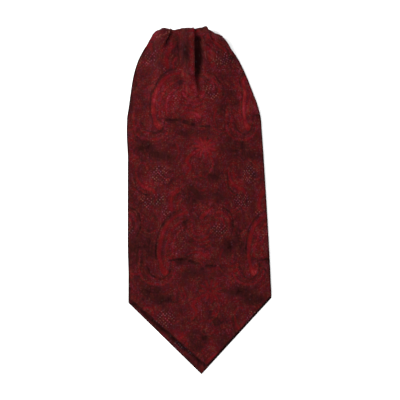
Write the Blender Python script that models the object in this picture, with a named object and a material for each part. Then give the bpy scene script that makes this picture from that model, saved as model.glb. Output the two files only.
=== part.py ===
"""Silk cravat, folded flat for display: a Blender 4.5 script.

The cravat lies face up with its point towards -Y, on the plane z = 0. From the top down it holds the
front blade, the neckband folded once on itself, and the back blade. Each blade turns over at the +Y
end and runs beneath to its seam with the neckband, so that end shows two rolls of cloth. Sizes are in
millimetres until a mesh is made. The origin is the middle of the outline, on the surface beneath.
"""

import math
from collections import namedtuple

import bmesh
import bpy

METRES = 0.001

# Cloth: two layers of jacquard silk with a light interlining, pressed together.
WALL = 1.1
GAP = 0.3  # between two pieces or two folds of cloth that lie on each other
TIGHT_TURN = 0.5 * (WALL + GAP)  # centreline radius where the cloth is folded back on itself

# Side edges of a blade as seen from above, a row for each height on the front view.
Sides = namedtuple("Sides", "y left right")
FRONT_SIDES = (
    Sides(-100.0, -73.8, 75.9),
    Sides(-42.0, -75.5, 73.0),
    Sides(0.0, -75.5, 70.5),
    Sides(42.0, -75.4, 67.9),
    Sides(72.0, -76.6, 65.8),
    Sides(86.0, -76.2, 64.7),
    Sides(97.0, -74.6, 62.3),
    Sides(114.0, -72.3, 56.1),
    Sides(130.0, -69.7, 49.8),
    Sides(147.0, -64.6, 41.6),
    Sides(156.0, -59.9, 35.3),
    Sides(164.0, -54.7, 29.9),
    Sides(168.3, -52.3, 26.5),
    Sides(172.5, -49.6, 24.3),
)
BACK_SIDES = (
    Sides(-101.0, -74.9, 75.9),
    Sides(0.0, -74.5, 69.5),
    Sides(72.0, -74.0, 63.5),
    Sides(97.0, -72.5, 60.0),
    Sides(130.0, -67.5, 47.6),
    Sides(156.0, -57.5, 33.0),
    Sides(168.0, -49.5, 24.0),
)

# The pointed end of a blade: the heights of its two corners, and its tip.
Hem = namedtuple("Hem", "left_y tip_x tip_y right_y")
FRONT_HEM = Hem(left_y=-103.1, tip_x=7.5, tip_y=-174.3, right_y=-100.0)
BACK_HEM = Hem(left_y=-108.0, tip_x=2.1, tip_y=-183.3, right_y=-102.7)

# Knife pleats of the front blade, each with its left side lying over its right side. An edge runs
# from top_x at the fold to foot_x at flat_y. depth is how far the cloth runs back beneath the edge.
# It shrinks from narrows_y to nothing at release_y, and the ridge that is left sinks away at flat_y.
# roll is the radius of the visible edge, and ramp the run over which the cloth climbs to it. Right of
# the edge, valley is the width of the low ground, and puff the height of the bulge beyond that.
Pleat = namedtuple("Pleat", "top_x foot_x depth narrows_y release_y flat_y roll ramp valley puff")
PLEATS = (
    Pleat(top_x=-31.0, foot_x=-40.5, depth=6.0, narrows_y=177.0, release_y=171.0, flat_y=158.0,
          roll=0.9, ramp=12.0, valley=3.0, puff=0.0),
    Pleat(top_x=-5.6, foot_x=-4.8, depth=3.8, narrows_y=160.0, release_y=131.0, flat_y=102.0,
          roll=2.2, ramp=9.0, valley=6.4, puff=2.4),
    Pleat(top_x=9.2, foot_x=12.5, depth=3.0, narrows_y=177.0, release_y=172.0, flat_y=160.0,
          roll=0.8, ramp=8.0, valley=2.0, puff=1.2),
)
PUFF_RUN = 6.0  # from the low ground to the top of the bulge
LEAST_DEPTH = 0.4  # of a pleat that has run out, so that its points stay apart
LEAST_VALLEY = 1.3
LEAST_TOP = 1.0  # of the stretch before a pleat's edge
EDGE_MARGIN = 0.03  # share of the width at the left edge that lies on its bed

# The fold at the top. Its line isn't straight, as the pleats reach unequal heights.
FOLD_Y = 177.0  # where the front blade begins to turn over
PRESSED_Y = 171.0  # above this the rolls of the pleats are pressed down towards the fold
DROOP_FROM_Y = 136.0  # the droop of the fold's line fades out towards this height
Droop = namedtuple("Droop", "x lower")
DROOPS = (
    Droop(-49.1, 4.2),
    Droop(-47.0, 1.5),
    Droop(-45.0, 0.4),
    Droop(-42.0, 0.9),
    Droop(-39.3, 0.3),
    Droop(-35.0, 0.8),
    Droop(-31.8, 1.9),
    Droop(-29.6, -0.4),
    Droop(-26.7, -0.1),
    Droop(-22.5, -1.1),
    Droop(-18.3, -1.4),
    Droop(-14.0, 0.0),
    Droop(-10.0, 0.3),
    Droop(-6.8, 0.4),
    Droop(-4.0, -1.6),
    Droop(0.0, -0.8),
    Droop(4.0, 0.1),
    Droop(7.0, -1.1),
    Droop(9.0, -1.5),
    Droop(11.0, -0.8),
    Droop(13.0, 0.4),
    Droop(17.4, 3.1),
    Droop(21.6, 4.1),
    Droop(24.5, 6.2),
    Droop(27.9, 11.2),
)
BACK_DROOP_SHARE = 0.8

# Side edges while a blade turns over, by the angle that it has turned, and at its seam.
Turn = namedtuple("Turn", "angle left right")
FRONT_TURNS = (
    Turn(0.0, -49.6, 27.9),
    Turn(90.0, -47.0, 24.5),
    Turn(180.0, -40.5, 16.0),
)
BACK_TURNS = (
    Turn(0.0, -45.5, 21.5),
    Turn(90.0, -43.0, 18.5),
    Turn(180.0, -38.5, 14.0),
)
SEAM_LEFT, SEAM_RIGHT = -36.8, 12.0
SEAM_Y = 164.4
SEAM_GAP = 0.4
TURN_STEPS = 6
SEAM_STEPS = 2

# The neckband: the same cloth pleated to a narrow band, folded double between the blades.
BAND_WIDTH = 46.0
BAND_X = -12.4  # its middle at the fold
BAND_FOOT_X = -5.0  # its middle at its lower turn, in line with the leaning blades
BAND_TURN_Y = -20.0  # its lower turn, half a neck below the fold
BAND_LAYERS = 6  # two bands of three layers of cloth
LAYER_NOTCH = 0.7  # depth of the groove between two layers at the sides
BAND_NOTCH = 1.7  # depth of the groove between the two bands
BAND_LOW = 5.8  # height of its upper face where it is pressed flat
NOSE_ANGLES = (0, 25, 50, 70, 82)

# Heights of what lies on what, at the fold.
BACK_FOLD_Y = FOLD_Y - 1.5
BACK_TURN_RADIUS = 1.7  # centreline radius of the back blade's turn
BAND_BOTTOM = WALL + GAP
FRONT_BENEATH = 2 * BACK_TURN_RADIUS + WALL + GAP  # lowest point of the front blade's run beneath
PRESSED_STACK = WALL + 4 * TIGHT_TURN  # three layers of a pleat pressed on each other
BAND_TOP = FRONT_BENEATH + PRESSED_STACK
FRONT_TURN_INSIDE = 0.4  # inner radius of the front blade's turn
FRONT_TURN_RADIUS = FRONT_TURN_INSIDE + 0.5 * WALL
BED_LOW = WALL + GAP  # the front blade's inner face where it lies on the back blade
SHOULDER_FROM = 24.8  # from the neckband's middle to where the front blade starts to slope off it
SHOULDER_TO = 51.0  # and to where it has come down to the back blade
TOP_SLOPE_SHARE = 0.62  # share of that slope at the fold, where the pleats hold the cloth up

# Rows of points along y, from the last row before the point up to the fold.
FRONT_ROWS = (
    -62, -50, -42, -34, -27, -21, -10, 15, 45, 72, 86, 97, 105, 113, 121, 129,
    136, 143, 149, 154, 158, 162, 166, 170, 174,
)
BACK_ROWS = (-60, 0, 72, 97, 120, 140, 156, 168)
BAND_ROWS = (151, 138, 126, 114, 102, 60, 20)
HEM_STEPS = 2  # rows from the last straight row to the hem
BACK_COLUMNS = 14
PANEL_LOW, PANEL_RISE, PANEL_TOP = 2, 5, 2  # steps of the three stretches between two pleats
ARC_STEPS = 4  # steps of each turn of a pleat


def ease(start, end, value):
    """0 at start and 1 at end, with no corner at either."""
    share = min(max((value - start) / (end - start), 0.0), 1.0)
    return share * share * (3.0 - 2.0 * share)


def mix(first, second, share):
    return first + (second - first) * share


def along(rows, place):
    """The other columns of a table at a value of its first column, on a smooth curve through its rows."""
    keys = [row[0] for row in rows]
    place = min(max(place, keys[0]), keys[-1])
    index = 0
    while index < len(keys) - 2 and keys[index + 1] <= place:
        index += 1
    width = keys[index + 1] - keys[index]
    share = (place - keys[index]) / width
    found = []
    for column in range(1, len(rows[0])):
        values = [row[column] for row in rows]
        steps = [(values[i + 1] - values[i]) / (keys[i + 1] - keys[i]) for i in range(len(keys) - 1)]
        slopes = []
        for i in (index, index + 1):
            before = steps[max(i - 1, 0)]
            after = steps[min(i, len(steps) - 1)]
            slopes.append(2 * before * after / (before + after) if before * after > 0 else 0.0)
        curve = mix(values[index], values[index + 1], share * share * (3 - 2 * share))
        curve += width * slopes[0] * share * (1 - share) ** 2
        curve -= width * slopes[1] * share * share * (1 - share)
        found.append(curve)
    return found


def droop(across):
    """How far the fold's line lies below its highest level, by the share of the width from the left."""
    return along(DROOPS, mix(DROOPS[0].x, DROOPS[-1].x, across))[0]


def droop_weight(y):
    return ease(DROOP_FROM_Y, FOLD_Y, y)


def sides_at(sides, y, share_of_droop):
    """Left and right edge of a row of points, which the droop moves down at its ends."""
    weight = share_of_droop * droop_weight(y)
    left = along(sides, y - droop(0.0) * weight)[0]
    right = along(sides, y - droop(1.0) * weight)[1]
    return left, right


def band_top(y):
    return mix(BAND_LOW, BAND_TOP, ease(105.0, 160.0, y))


def band_middle(y):
    return mix(BAND_FOOT_X, BAND_X, ease(BAND_TURN_Y, FOLD_Y, y))


def front_bed(x, y):
    """Height of the front blade's inner face: over the neckband, then down to the back blade."""
    over_band = band_top(y) + GAP + (2 * FRONT_TURN_INSIDE - GAP) * ease(120.0, SEAM_Y, y)
    over_band = mix(BED_LOW, over_band, ease(BAND_TURN_Y - 38.0, BAND_TURN_Y, y))
    slope = ease(SHOULDER_FROM, SHOULDER_TO, abs(x - band_middle(y)))
    slope *= mix(1.0, TOP_SLOPE_SHARE, ease(146.0, 170.0, y))
    return mix(over_band, BED_LOW, slope)


def fold_drop(x):
    """How far the fold slopes down from its middle towards its ends."""
    return front_bed(BAND_X, FOLD_Y) - front_bed(x, FOLD_Y)


# One fold of a cross-section: its edge, the straight run beneath it, the lengths of its two arcs, the
# angle that each of them turns by, the climb to it, and the low ground and the bulge that follow.
Fold = namedtuple("Fold", "edge depth outer inner angle ramp valley puff")


def folds_at(y, left=None, right=None):
    """The folds of the front blade at height y, or at the top fold squeezed between two edges."""
    found = []
    pressed = ease(PRESSED_Y, FOLD_Y, y)
    start, end = FRONT_TURNS[0].left, FRONT_TURNS[0].right
    squeeze = 1.0 if left is None else (right - left) / (end - start)
    for pleat in PLEATS:
        height = min(max((y - pleat.flat_y) / (FOLD_Y - pleat.flat_y), 0.0), 1.0)
        edge = mix(pleat.foot_x, pleat.top_x, height)
        if left is not None:
            edge = left + (edge - start) * squeeze
        closed = ease(pleat.flat_y, pleat.release_y, y)
        open_roll = mix(TIGHT_TURN, pleat.roll, closed)
        widening = ease(pleat.release_y - 4.0, pleat.release_y + 14.0, y) * (1.0 - pressed)
        found.append(Fold(
            edge=edge,
            depth=mix(LEAST_DEPTH, pleat.depth, ease(pleat.release_y, pleat.narrows_y, y)) * squeeze,
            outer=math.pi * mix(open_roll, TIGHT_TURN, pressed),
            inner=math.pi * TIGHT_TURN,
            angle=math.pi * closed,
            ramp=pleat.ramp,
            valley=mix(LEAST_VALLEY, pleat.valley, widening),
            puff=pleat.puff * closed * (1.0 - pressed),
        ))
    return found


def arc_run(length, angle):
    """Run and drop of an arc of this length that turns down from level by this angle."""
    if angle < 1e-6:
        return length, 0.0
    radius = length / angle
    return radius * math.sin(angle), radius * (1.0 - math.cos(angle))


def fold_points(x, height, fold):
    """Points of one fold after the point where it starts: down and back, then level again."""
    points = []
    for step in range(1, ARC_STEPS + 1):
        part = step / ARC_STEPS
        run, drop = arc_run(fold.outer * part, fold.angle * part)
        points.append((x + run, height - drop))
    x = points[-1][0] + fold.depth * math.cos(fold.angle)
    height = points[-1][1] - fold.depth * math.sin(fold.angle)
    points.append((x, height))
    whole_run, whole_drop = arc_run(fold.inner, fold.angle)
    for step in range(1, ARC_STEPS + 1):
        part = 1.0 - step / ARC_STEPS
        run, drop = arc_run(fold.inner * part, fold.angle * part)
        points.append((x + whole_run - run, height - whole_drop + drop))
    return points


def bulge(puff, start, end, place):
    """Height of a soft bulge, steeper beside the low ground that it starts from."""
    top = start + PUFF_RUN
    return puff * ease(start, top, place) * (1.0 - ease(top, max(end, top + 1.0), place))


def centreline(left, right, folds):
    """Cross-section of the front blade: points (x, height over the bed) from edge to edge."""
    points = []
    bulges = []
    x = left
    low_end = mix(left, right, EDGE_MARGIN)
    for fold in folds:
        closed = ease(0.0, math.pi, fold.angle)
        end = fold.edge - fold.outer / math.pi * closed
        last = fold_points(0.0, 0.0, fold)[-1]
        rise = -last[1]
        rise_end = end - max(LEAST_TOP, -last[0]) - (TIGHT_TURN + 0.5 * WALL + GAP) * closed
        low_end = max(low_end, rise_end - fold.ramp)
        places = [mix(x, low_end, i / PANEL_LOW) for i in range(PANEL_LOW)]
        places += [mix(low_end, rise_end, i / PANEL_RISE) for i in range(PANEL_RISE)]
        places += [mix(rise_end, end, i / PANEL_TOP) for i in range(PANEL_TOP + 1)]
        points += [(place, rise * ease(low_end, rise_end, place)) for place in places]
        points += fold_points(end, rise, fold)
        x = points.pop()[0]
        low_end = max(fold.edge + fold.valley, x + 1.0)
        bulges.append((len(points), low_end, fold.puff))
    points += [(mix(x, low_end, i / PANEL_LOW), 0.0) for i in range(PANEL_LOW)]
    steps = PANEL_RISE + PANEL_TOP
    points += [(mix(low_end, right, i / steps), 0.0) for i in range(steps + 1)]
    for first, start, puff in bulges:
        for i in range(first, len(points)):
            place, height = points[i]
            points[i] = (place, height + bulge(puff, start, right, place))
    return points


def wall_of(points):
    """The upper and lower face of a wall round a centreline, each a list of (x, height)."""
    ways = []
    for a, b in zip(points, points[1:]):
        length = math.hypot(b[0] - a[0], b[1] - a[1])
        ways.append(((b[0] - a[0]) / length, (b[1] - a[1]) / length))
    ways = [ways[0]] + ways + [ways[-1]]
    upper, lower = [], []
    for (x, height), before, after in zip(points, ways, ways[1:]):
        sum_x = before[0] + after[0]
        sum_h = before[1] + after[1]
        reach = WALL / (sum_x * sum_x + sum_h * sum_h)  # keeps the wall's thickness at a corner
        upper.append((x - sum_h * reach, height + sum_x * reach))
        lower.append((x + sum_h * reach, height - sum_x * reach))
    return upper, lower


def hem_point(hem, left, right, tip_share, share):
    """Point of the pointed end at this share of the width from the left."""
    if share <= tip_share:
        part = share / tip_share
        return mix(left, hem.tip_x, part), mix(hem.left_y, hem.tip_y, part)
    part = (share - tip_share) / (1.0 - tip_share)
    return mix(hem.tip_x, right, part), mix(hem.tip_y, hem.right_y, part)


def tip_share_of(hem, left, right):
    return (hem.tip_x - left) / (right - left)


def moved_share(share, nearest, tip_share, y):
    """Share of the width of a column, moved so that one column ends on the tip of the hem."""
    if share <= nearest:
        moved = share * tip_share / nearest
    else:
        moved = 1.0 - (1.0 - share) * (1.0 - tip_share) / (1.0 - nearest)
    return mix(share, moved, 1.0 - ease(20.0, 90.0, y))


def front_rows():
    """Rows of the front blade as pairs of lists of points: its outer face and its inner face."""
    rows = []
    low = FRONT_SIDES[0]
    tip_share = tip_share_of(FRONT_HEM, low.left, low.right)
    first = FRONT_ROWS[0]
    left, right = sides_at(FRONT_SIDES, first, 1.0)
    shares = [(x - left) / (right - left) for x, _ in centreline(left, right, folds_at(first))]
    nearest = min(shares, key=lambda share: abs(share - tip_share))

    for step in range(HEM_STEPS):
        towards = 1.0 - step / HEM_STEPS
        outer, inner = [], []
        for share in shares:
            share = moved_share(share, nearest, tip_share, first)
            end_x, end_y = hem_point(FRONT_HEM, low.left, low.right, tip_share, share)
            x = mix(mix(left, right, share), end_x, towards)
            y = mix(first, end_y, towards)
            inner.append((x, y, BED_LOW))
            outer.append((x, y, BED_LOW + WALL))
        rows.append((outer, inner))

    for y in FRONT_ROWS + (FOLD_Y,):
        left, right = sides_at(FRONT_SIDES, y, 1.0)
        faces = []
        for face in wall_of(centreline(left, right, folds_at(y))):
            points = []
            for x, height in face:
                share = (x - left) / (right - left)
                x = mix(left, right, moved_share(share, nearest, tip_share, y))
                drop = droop(share) * droop_weight(y)
                points.append((x, y - drop, front_bed(x, y) + 0.5 * WALL + height))
            faces.append(points)
        rows.append(tuple(faces))

    middle = front_bed(BAND_X, FOLD_Y) - FRONT_TURN_INSIDE
    turned = []
    for step in range(1, TURN_STEPS + 1):
        angle = 180.0 * step / TURN_STEPS
        turned.append((angle, *along(FRONT_TURNS, angle), 0.0))
    turned += [(180.0, SEAM_LEFT, SEAM_RIGHT, step / SEAM_STEPS) for step in range(1, SEAM_STEPS + 1)]
    for angle, left, right, beneath in turned:
        if beneath:
            left = mix(FRONT_TURNS[-1].left, left, beneath)
            right = mix(FRONT_TURNS[-1].right, right, beneath)
        faces = []
        for face in wall_of(centreline(left, right, folds_at(FOLD_Y, left, right))):
            points = []
            for x, height in face:
                radius = FRONT_TURN_RADIUS + height
                y = FOLD_Y + radius * math.sin(math.radians(angle)) - droop((x - left) / (right - left))
                z = middle + radius * math.cos(math.radians(angle)) - fold_drop(x)
                points.append((x, mix(y, SEAM_Y, beneath), z))
            faces.append(points)
        rows.append(tuple(faces))
    return rows


def back_rows():
    """Rows of the back blade, as for the front blade. Its outer face is the one that lies below."""
    rows = []
    low = BACK_SIDES[0]
    tip_share = tip_share_of(BACK_HEM, low.left, low.right)
    columns = [i / BACK_COLUMNS for i in range(BACK_COLUMNS + 1)]
    nearest = min(columns, key=lambda share: abs(share - tip_share))
    shares = [moved_share(share, nearest, tip_share, BACK_ROWS[0]) for share in columns]
    first = BACK_ROWS[0]
    left, right = sides_at(BACK_SIDES, first, 1.0)

    for step in range(HEM_STEPS):
        towards = 1.0 - step / HEM_STEPS
        outer, inner = [], []
        for share in shares:
            end_x, end_y = hem_point(BACK_HEM, low.left, low.right, tip_share, share)
            x = mix(mix(left, right, share), end_x, towards)
            y = mix(first, end_y, towards)
            outer.append((x, y, 0.0))
            inner.append((x, y, WALL))
        rows.append((outer, inner))

    for y in BACK_ROWS + (BACK_FOLD_Y,):
        left, right = sides_at(BACK_SIDES, y, BACK_DROOP_SHARE)
        if y == BACK_FOLD_Y:
            left, right = BACK_TURNS[0].left, BACK_TURNS[0].right
        outer, inner = [], []
        for share in shares:
            drop = BACK_DROOP_SHARE * droop(share) * droop_weight(y)
            x = mix(left, right, share)
            outer.append((x, y - drop, 0.0))
            inner.append((x, y - drop, WALL))
        rows.append((outer, inner))

    turned = []
    for step in range(1, TURN_STEPS + 1):
        angle = 180.0 * step / TURN_STEPS
        turned.append((angle, *along(BACK_TURNS, angle), 0.0))
    turned += [(180.0, SEAM_LEFT, SEAM_RIGHT, step / SEAM_STEPS) for step in range(1, SEAM_STEPS + 1)]
    for angle, left, right, beneath in turned:
        if beneath:
            left = mix(BACK_TURNS[-1].left, left, beneath)
            right = mix(BACK_TURNS[-1].right, right, beneath)
        outer, inner = [], []
        for share in shares:
            x = mix(left, right, share)
            turn = max(TIGHT_TURN, BACK_TURN_RADIUS - 0.5 * fold_drop(x))
            for points, radius in ((outer, turn + 0.5 * WALL), (inner, turn - 0.5 * WALL)):
                y = BACK_FOLD_Y + radius * math.sin(math.radians(angle)) - BACK_DROOP_SHARE * droop(share)
                z = 0.5 * WALL + turn - radius * math.cos(math.radians(angle))
                points.append((x, mix(y, SEAM_Y, beneath), z))
        rows.append((outer, inner))
    return rows


def band_side():
    """One side of the neckband's section: points (inset from the side, share of the height)."""
    points = []
    for layer in range(BAND_LAYERS):
        bottom = layer / BAND_LAYERS
        height = 1.0 / BAND_LAYERS
        for part, inset in ((0.12, 0.5), (0.32, 0.1), (0.5, 0.0), (0.68, 0.1), (0.88, 0.5)):
            points.append((inset * LAYER_NOTCH, bottom + part * height))
        if layer < BAND_LAYERS - 1:
            notch = BAND_NOTCH if layer == BAND_LAYERS // 2 - 1 else LAYER_NOTCH
            points.append((notch, bottom + height))
    points[0] = (LAYER_NOTCH, 0.0)
    points[-1] = (LAYER_NOTCH, 1.0)
    return points


def band_rings():
    """Closed rings of points round the neckband, from its seam down to its rounded turn."""
    rings = []
    side = band_side()
    places = [(SEAM_Y - SEAM_GAP, 0.0)] + [(y, 0.0) for y in BAND_ROWS]
    places += [(BAND_TURN_Y, angle) for angle in NOSE_ANGLES]
    for y, angle in places:
        top = band_top(y)
        middle = 0.5 * (BAND_BOTTOM + top)
        half = 0.5 * (top - BAND_BOTTOM)
        turn = math.cos(math.radians(angle))
        y -= half * math.sin(math.radians(angle))
        ring = []
        for direction, points in ((-1, side), (1, side[::-1])):
            for inset, share in points:
                x = band_middle(y) + direction * (0.5 * BAND_WIDTH - inset * turn)
                ring.append((x, y, middle + half * (2.0 * share - 1.0) * turn))
        rings.append(ring)
    return rings


def add_body(name, colour, points, faces):
    """A named mesh object in metres from points in millimetres, with its faces turned outwards."""
    mesh = bpy.data.meshes.new(name)
    mesh.from_pydata([tuple(value * METRES for value in point) for point in points], [], faces)
    body = bpy.data.objects.new(name, mesh)
    bpy.context.collection.objects.link(body)
    shape = bmesh.new()
    shape.from_mesh(mesh)
    bmesh.ops.recalc_face_normals(shape, faces=shape.faces)
    bmesh.ops.triangulate(shape, faces=shape.faces)
    if shape.calc_volume(signed=True) < 0:
        bmesh.ops.reverse_faces(shape, faces=shape.faces)
    shape.to_mesh(mesh)
    shape.free()
    material = bpy.data.materials.new(name + "_silk")
    material.use_nodes = True
    shader = material.node_tree.nodes["Principled BSDF"]
    shader.inputs["Base Color"].default_value = (*colour, 1.0)
    shader.inputs["Roughness"].default_value = 0.6
    mesh.materials.append(material)
    return body


def add_wall(name, colour, rows):
    """A closed wall from rows of (outer, inner) points of equal length."""
    points = []
    for outer, inner in rows:
        points += outer + inner
    width = len(rows[0][0])

    def number(row, side, column):
        return (2 * row + side) * width + column

    faces = []
    for row in range(len(rows) - 1):
        for column in range(width - 1):
            for side in (0, 1):
                faces.append((
                    number(row, side, column), number(row, side, column + 1),
                    number(row + 1, side, column + 1), number(row + 1, side, column),
                ))
        for column in (0, width - 1):
            faces.append((
                number(row, 0, column), number(row, 1, column),
                number(row + 1, 1, column), number(row + 1, 0, column),
            ))
    for row in (0, len(rows) - 1):
        for column in range(width - 1):
            faces.append((
                number(row, 0, column), number(row, 0, column + 1),
                number(row, 1, column + 1), number(row, 1, column),
            ))
    return add_body(name, colour, points, faces)


def add_solid(name, colour, rings):
    """A closed body from rings whose points run up one side and down the other."""
    size = len(rings[0])
    points = [point for ring in rings for point in ring]
    faces = []
    for ring in range(len(rings) - 1):
        for i in range(size):
            after = (i + 1) % size
            faces.append((
                ring * size + i, ring * size + after, (ring + 1) * size + after, (ring + 1) * size + i,
            ))
    for ring in (0, len(rings) - 1):
        for i in range(size // 2 - 1):
            faces.append((
                ring * size + i, ring * size + i + 1,
                ring * size + size - 2 - i, ring * size + size - 1 - i,
            ))
    return add_body(name, colour, points, faces)


for old in list(bpy.data.objects):
    bpy.data.objects.remove(old)

add_wall("front_blade", (0.075, 0.012, 0.014), front_rows())
add_wall("back_blade", (0.065, 0.011, 0.013), back_rows())
add_solid("neckband", (0.070, 0.012, 0.013), band_rings())
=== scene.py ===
# %% [markdown]
# # A silk cravat, folded for display
#
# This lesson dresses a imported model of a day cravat. It lies face up with its point towards you. From
# the top down it holds the front blade, the neckband folded on itself, and the back blade.
#
# The CAD model already has the right sizes, so the frame is loaded first and nothing in it is moved.
# Each cut piece is then made again as finer cloth, with rounded edges, soft creases and a woven paisley.

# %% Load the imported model
import math
from collections import namedtuple

import bmesh
import bpy
import numpy as np
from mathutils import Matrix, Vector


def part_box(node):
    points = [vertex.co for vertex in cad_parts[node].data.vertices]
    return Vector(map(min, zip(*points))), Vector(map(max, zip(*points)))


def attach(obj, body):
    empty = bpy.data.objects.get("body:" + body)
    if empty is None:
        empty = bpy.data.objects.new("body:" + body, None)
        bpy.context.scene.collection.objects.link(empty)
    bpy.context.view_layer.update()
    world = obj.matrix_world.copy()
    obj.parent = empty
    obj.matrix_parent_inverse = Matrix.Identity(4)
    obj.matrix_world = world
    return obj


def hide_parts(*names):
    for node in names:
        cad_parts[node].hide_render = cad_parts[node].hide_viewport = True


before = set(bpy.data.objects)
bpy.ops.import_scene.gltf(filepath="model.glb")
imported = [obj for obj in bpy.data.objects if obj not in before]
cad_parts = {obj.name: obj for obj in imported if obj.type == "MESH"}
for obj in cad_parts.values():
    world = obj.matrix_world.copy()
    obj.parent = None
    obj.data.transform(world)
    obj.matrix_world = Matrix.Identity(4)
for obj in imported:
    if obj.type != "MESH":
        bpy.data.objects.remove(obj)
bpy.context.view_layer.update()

METRES = 0.001
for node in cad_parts:
    low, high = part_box(node)
    print(node, [round(value / METRES, 1) for value in high - low], "mm")

# %% [markdown]
# ## Smooth steps and smooth tables
#
# Cloth has no sharp corners, so nearly every size here changes with an ease curve, which starts and
# ends level. The outline is kept as a short table, and a smooth curve is laid through its rows. The
# curve never swings past a row, which a plain spline would do where the outline turns quickly.

# %% Ease, mix and the curve through a table


def ease(start, end, value):
    """0 at start and 1 at end, with no corner at either."""
    share = np.clip((value - start) / (end - start), 0.0, 1.0)
    return share * share * (3.0 - 2.0 * share)


def mix(first, second, share):
    return first + (second - first) * share


def along(rows, places, column=1):
    """A column of a table at places of its first column, on a smooth curve through its rows."""
    keys = np.array([row[0] for row in rows], float)
    values = np.array([row[column] for row in rows], float)
    steps = np.diff(values) / np.diff(keys)
    before = np.concatenate([steps[:1], steps])
    after = np.concatenate([steps, steps[-1:]])
    same_way = before * after > 0
    slopes = np.where(same_way, 2 * before * after / np.where(same_way, before + after, 1.0), 0.0)
    places = np.clip(places, keys[0], keys[-1])
    index = np.clip(np.searchsorted(keys, places, side="right") - 1, 0, len(keys) - 2)
    width = keys[index + 1] - keys[index]
    share = (places - keys[index]) / width
    curve = mix(values[index], values[index + 1], share * share * (3 - 2 * share))
    curve += width * slopes[index] * share * (1 - share) ** 2
    curve -= width * slopes[index + 1] * share * share * (1 - share)
    return curve


print("half way along an ease:", float(ease(0.0, 1.0, 0.5)))

# %% [markdown]
# ## The sizes of the cravat
#
# These are the same named sizes that the CAD model was made from, in millimetres, because the dressed
# cloth has to lie where the solids lie. A row of Sides gives both edges of a blade at one height. A row
# of Pleat gives one knife pleat of the front blade: its edge runs from top_x at the fold to foot_x.

# %% Outline, hems and pleats
WALL = 1.1  # two layers of silk with a light interlining
GAP = 0.3  # between pieces or folds that lie on each other
TIGHT_TURN = 0.5 * (WALL + GAP)

Sides = namedtuple("Sides", "y left right")
FRONT_SIDES = (
    Sides(-100.0, -73.8, 75.9), Sides(-42.0, -75.5, 73.0), Sides(0.0, -75.5, 70.5),
    Sides(42.0, -75.4, 67.9), Sides(72.0, -76.6, 65.8), Sides(86.0, -76.2, 64.7),
    Sides(97.0, -74.6, 62.3), Sides(114.0, -72.3, 56.1), Sides(130.0, -69.7, 49.8),
    Sides(147.0, -64.6, 41.6), Sides(156.0, -59.9, 35.3), Sides(164.0, -54.7, 29.9),
    Sides(168.3, -52.3, 26.5), Sides(172.5, -49.6, 24.3),
)
BACK_SIDES = (
    Sides(-101.0, -74.9, 75.9), Sides(0.0, -74.5, 69.5), Sides(72.0, -74.0, 63.5),
    Sides(97.0, -72.5, 60.0), Sides(130.0, -67.5, 47.6), Sides(156.0, -57.5, 33.0),
    Sides(168.0, -49.5, 24.0),
)
Hem = namedtuple("Hem", "left_y tip_x tip_y right_y")
FRONT_HEM = Hem(left_y=-103.1, tip_x=7.5, tip_y=-174.3, right_y=-100.0)
BACK_HEM = Hem(left_y=-108.0, tip_x=2.1, tip_y=-183.3, right_y=-102.7)

Pleat = namedtuple("Pleat", "top_x foot_x depth narrows_y release_y flat_y roll ramp valley puff")
PLEATS = (
    Pleat(top_x=-31.0, foot_x=-40.5, depth=6.0, narrows_y=177.0, release_y=171.0, flat_y=158.0,
          roll=0.9, ramp=12.0, valley=3.0, puff=0.0),
    Pleat(top_x=-5.6, foot_x=-4.8, depth=3.8, narrows_y=160.0, release_y=131.0, flat_y=102.0,
          roll=2.2, ramp=9.0, valley=6.4, puff=2.4),
    Pleat(top_x=9.2, foot_x=12.5, depth=3.0, narrows_y=177.0, release_y=172.0, flat_y=160.0,
          roll=0.8, ramp=8.0, valley=2.0, puff=1.2),
)
MIDDLE_PLEAT = 1
PUFF_RUN = 6.0
LEAST_DEPTH = 0.4
LEAST_VALLEY = 1.3
LEAST_TOP = 1.0
EDGE_MARGIN = 0.03

FOLD_Y = 177.0
PRESSED_Y = 171.0
DROOP_FROM_Y = 136.0
Droop = namedtuple("Droop", "x lower")
DROOPS = (
    Droop(-49.1, 4.2), Droop(-47.0, 1.5), Droop(-45.0, 0.4), Droop(-42.0, 0.9), Droop(-39.3, 0.3),
    Droop(-35.0, 0.8), Droop(-31.8, 1.9), Droop(-29.6, -0.4), Droop(-26.7, -0.1), Droop(-22.5, -1.1),
    Droop(-18.3, -1.4), Droop(-14.0, 0.0), Droop(-10.0, 0.3), Droop(-6.8, 0.4), Droop(-4.0, -1.6),
    Droop(0.0, -0.8), Droop(4.0, 0.1), Droop(7.0, -1.1), Droop(9.0, -1.5), Droop(11.0, -0.8),
    Droop(13.0, 0.4), Droop(17.4, 3.1), Droop(21.6, 4.1), Droop(24.5, 6.2), Droop(27.9, 11.2),
)
BACK_DROOP_SHARE = 0.8

Turn = namedtuple("Turn", "angle left right")
FRONT_TURNS = (Turn(0.0, -49.6, 27.9), Turn(90.0, -47.0, 24.5), Turn(180.0, -40.5, 16.0))
BACK_TURNS = (Turn(0.0, -45.5, 21.5), Turn(90.0, -43.0, 18.5), Turn(180.0, -38.5, 14.0))
SEAM_LEFT, SEAM_RIGHT = -36.8, 12.0
SEAM_Y = 164.4
SEAM_GAP = 0.4

print("pleats:", len(PLEATS), "outline rows:", len(FRONT_SIDES), len(BACK_SIDES))

# %% [markdown]
# ## What lies on what
#
# The front blade rests on the neckband, and away from it comes down to the back blade. That bed decides
# the soft shoulders that the photograph shows beside the pleats. It is a formula of x and y, so cloth of
# any density can be laid on it.

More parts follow.
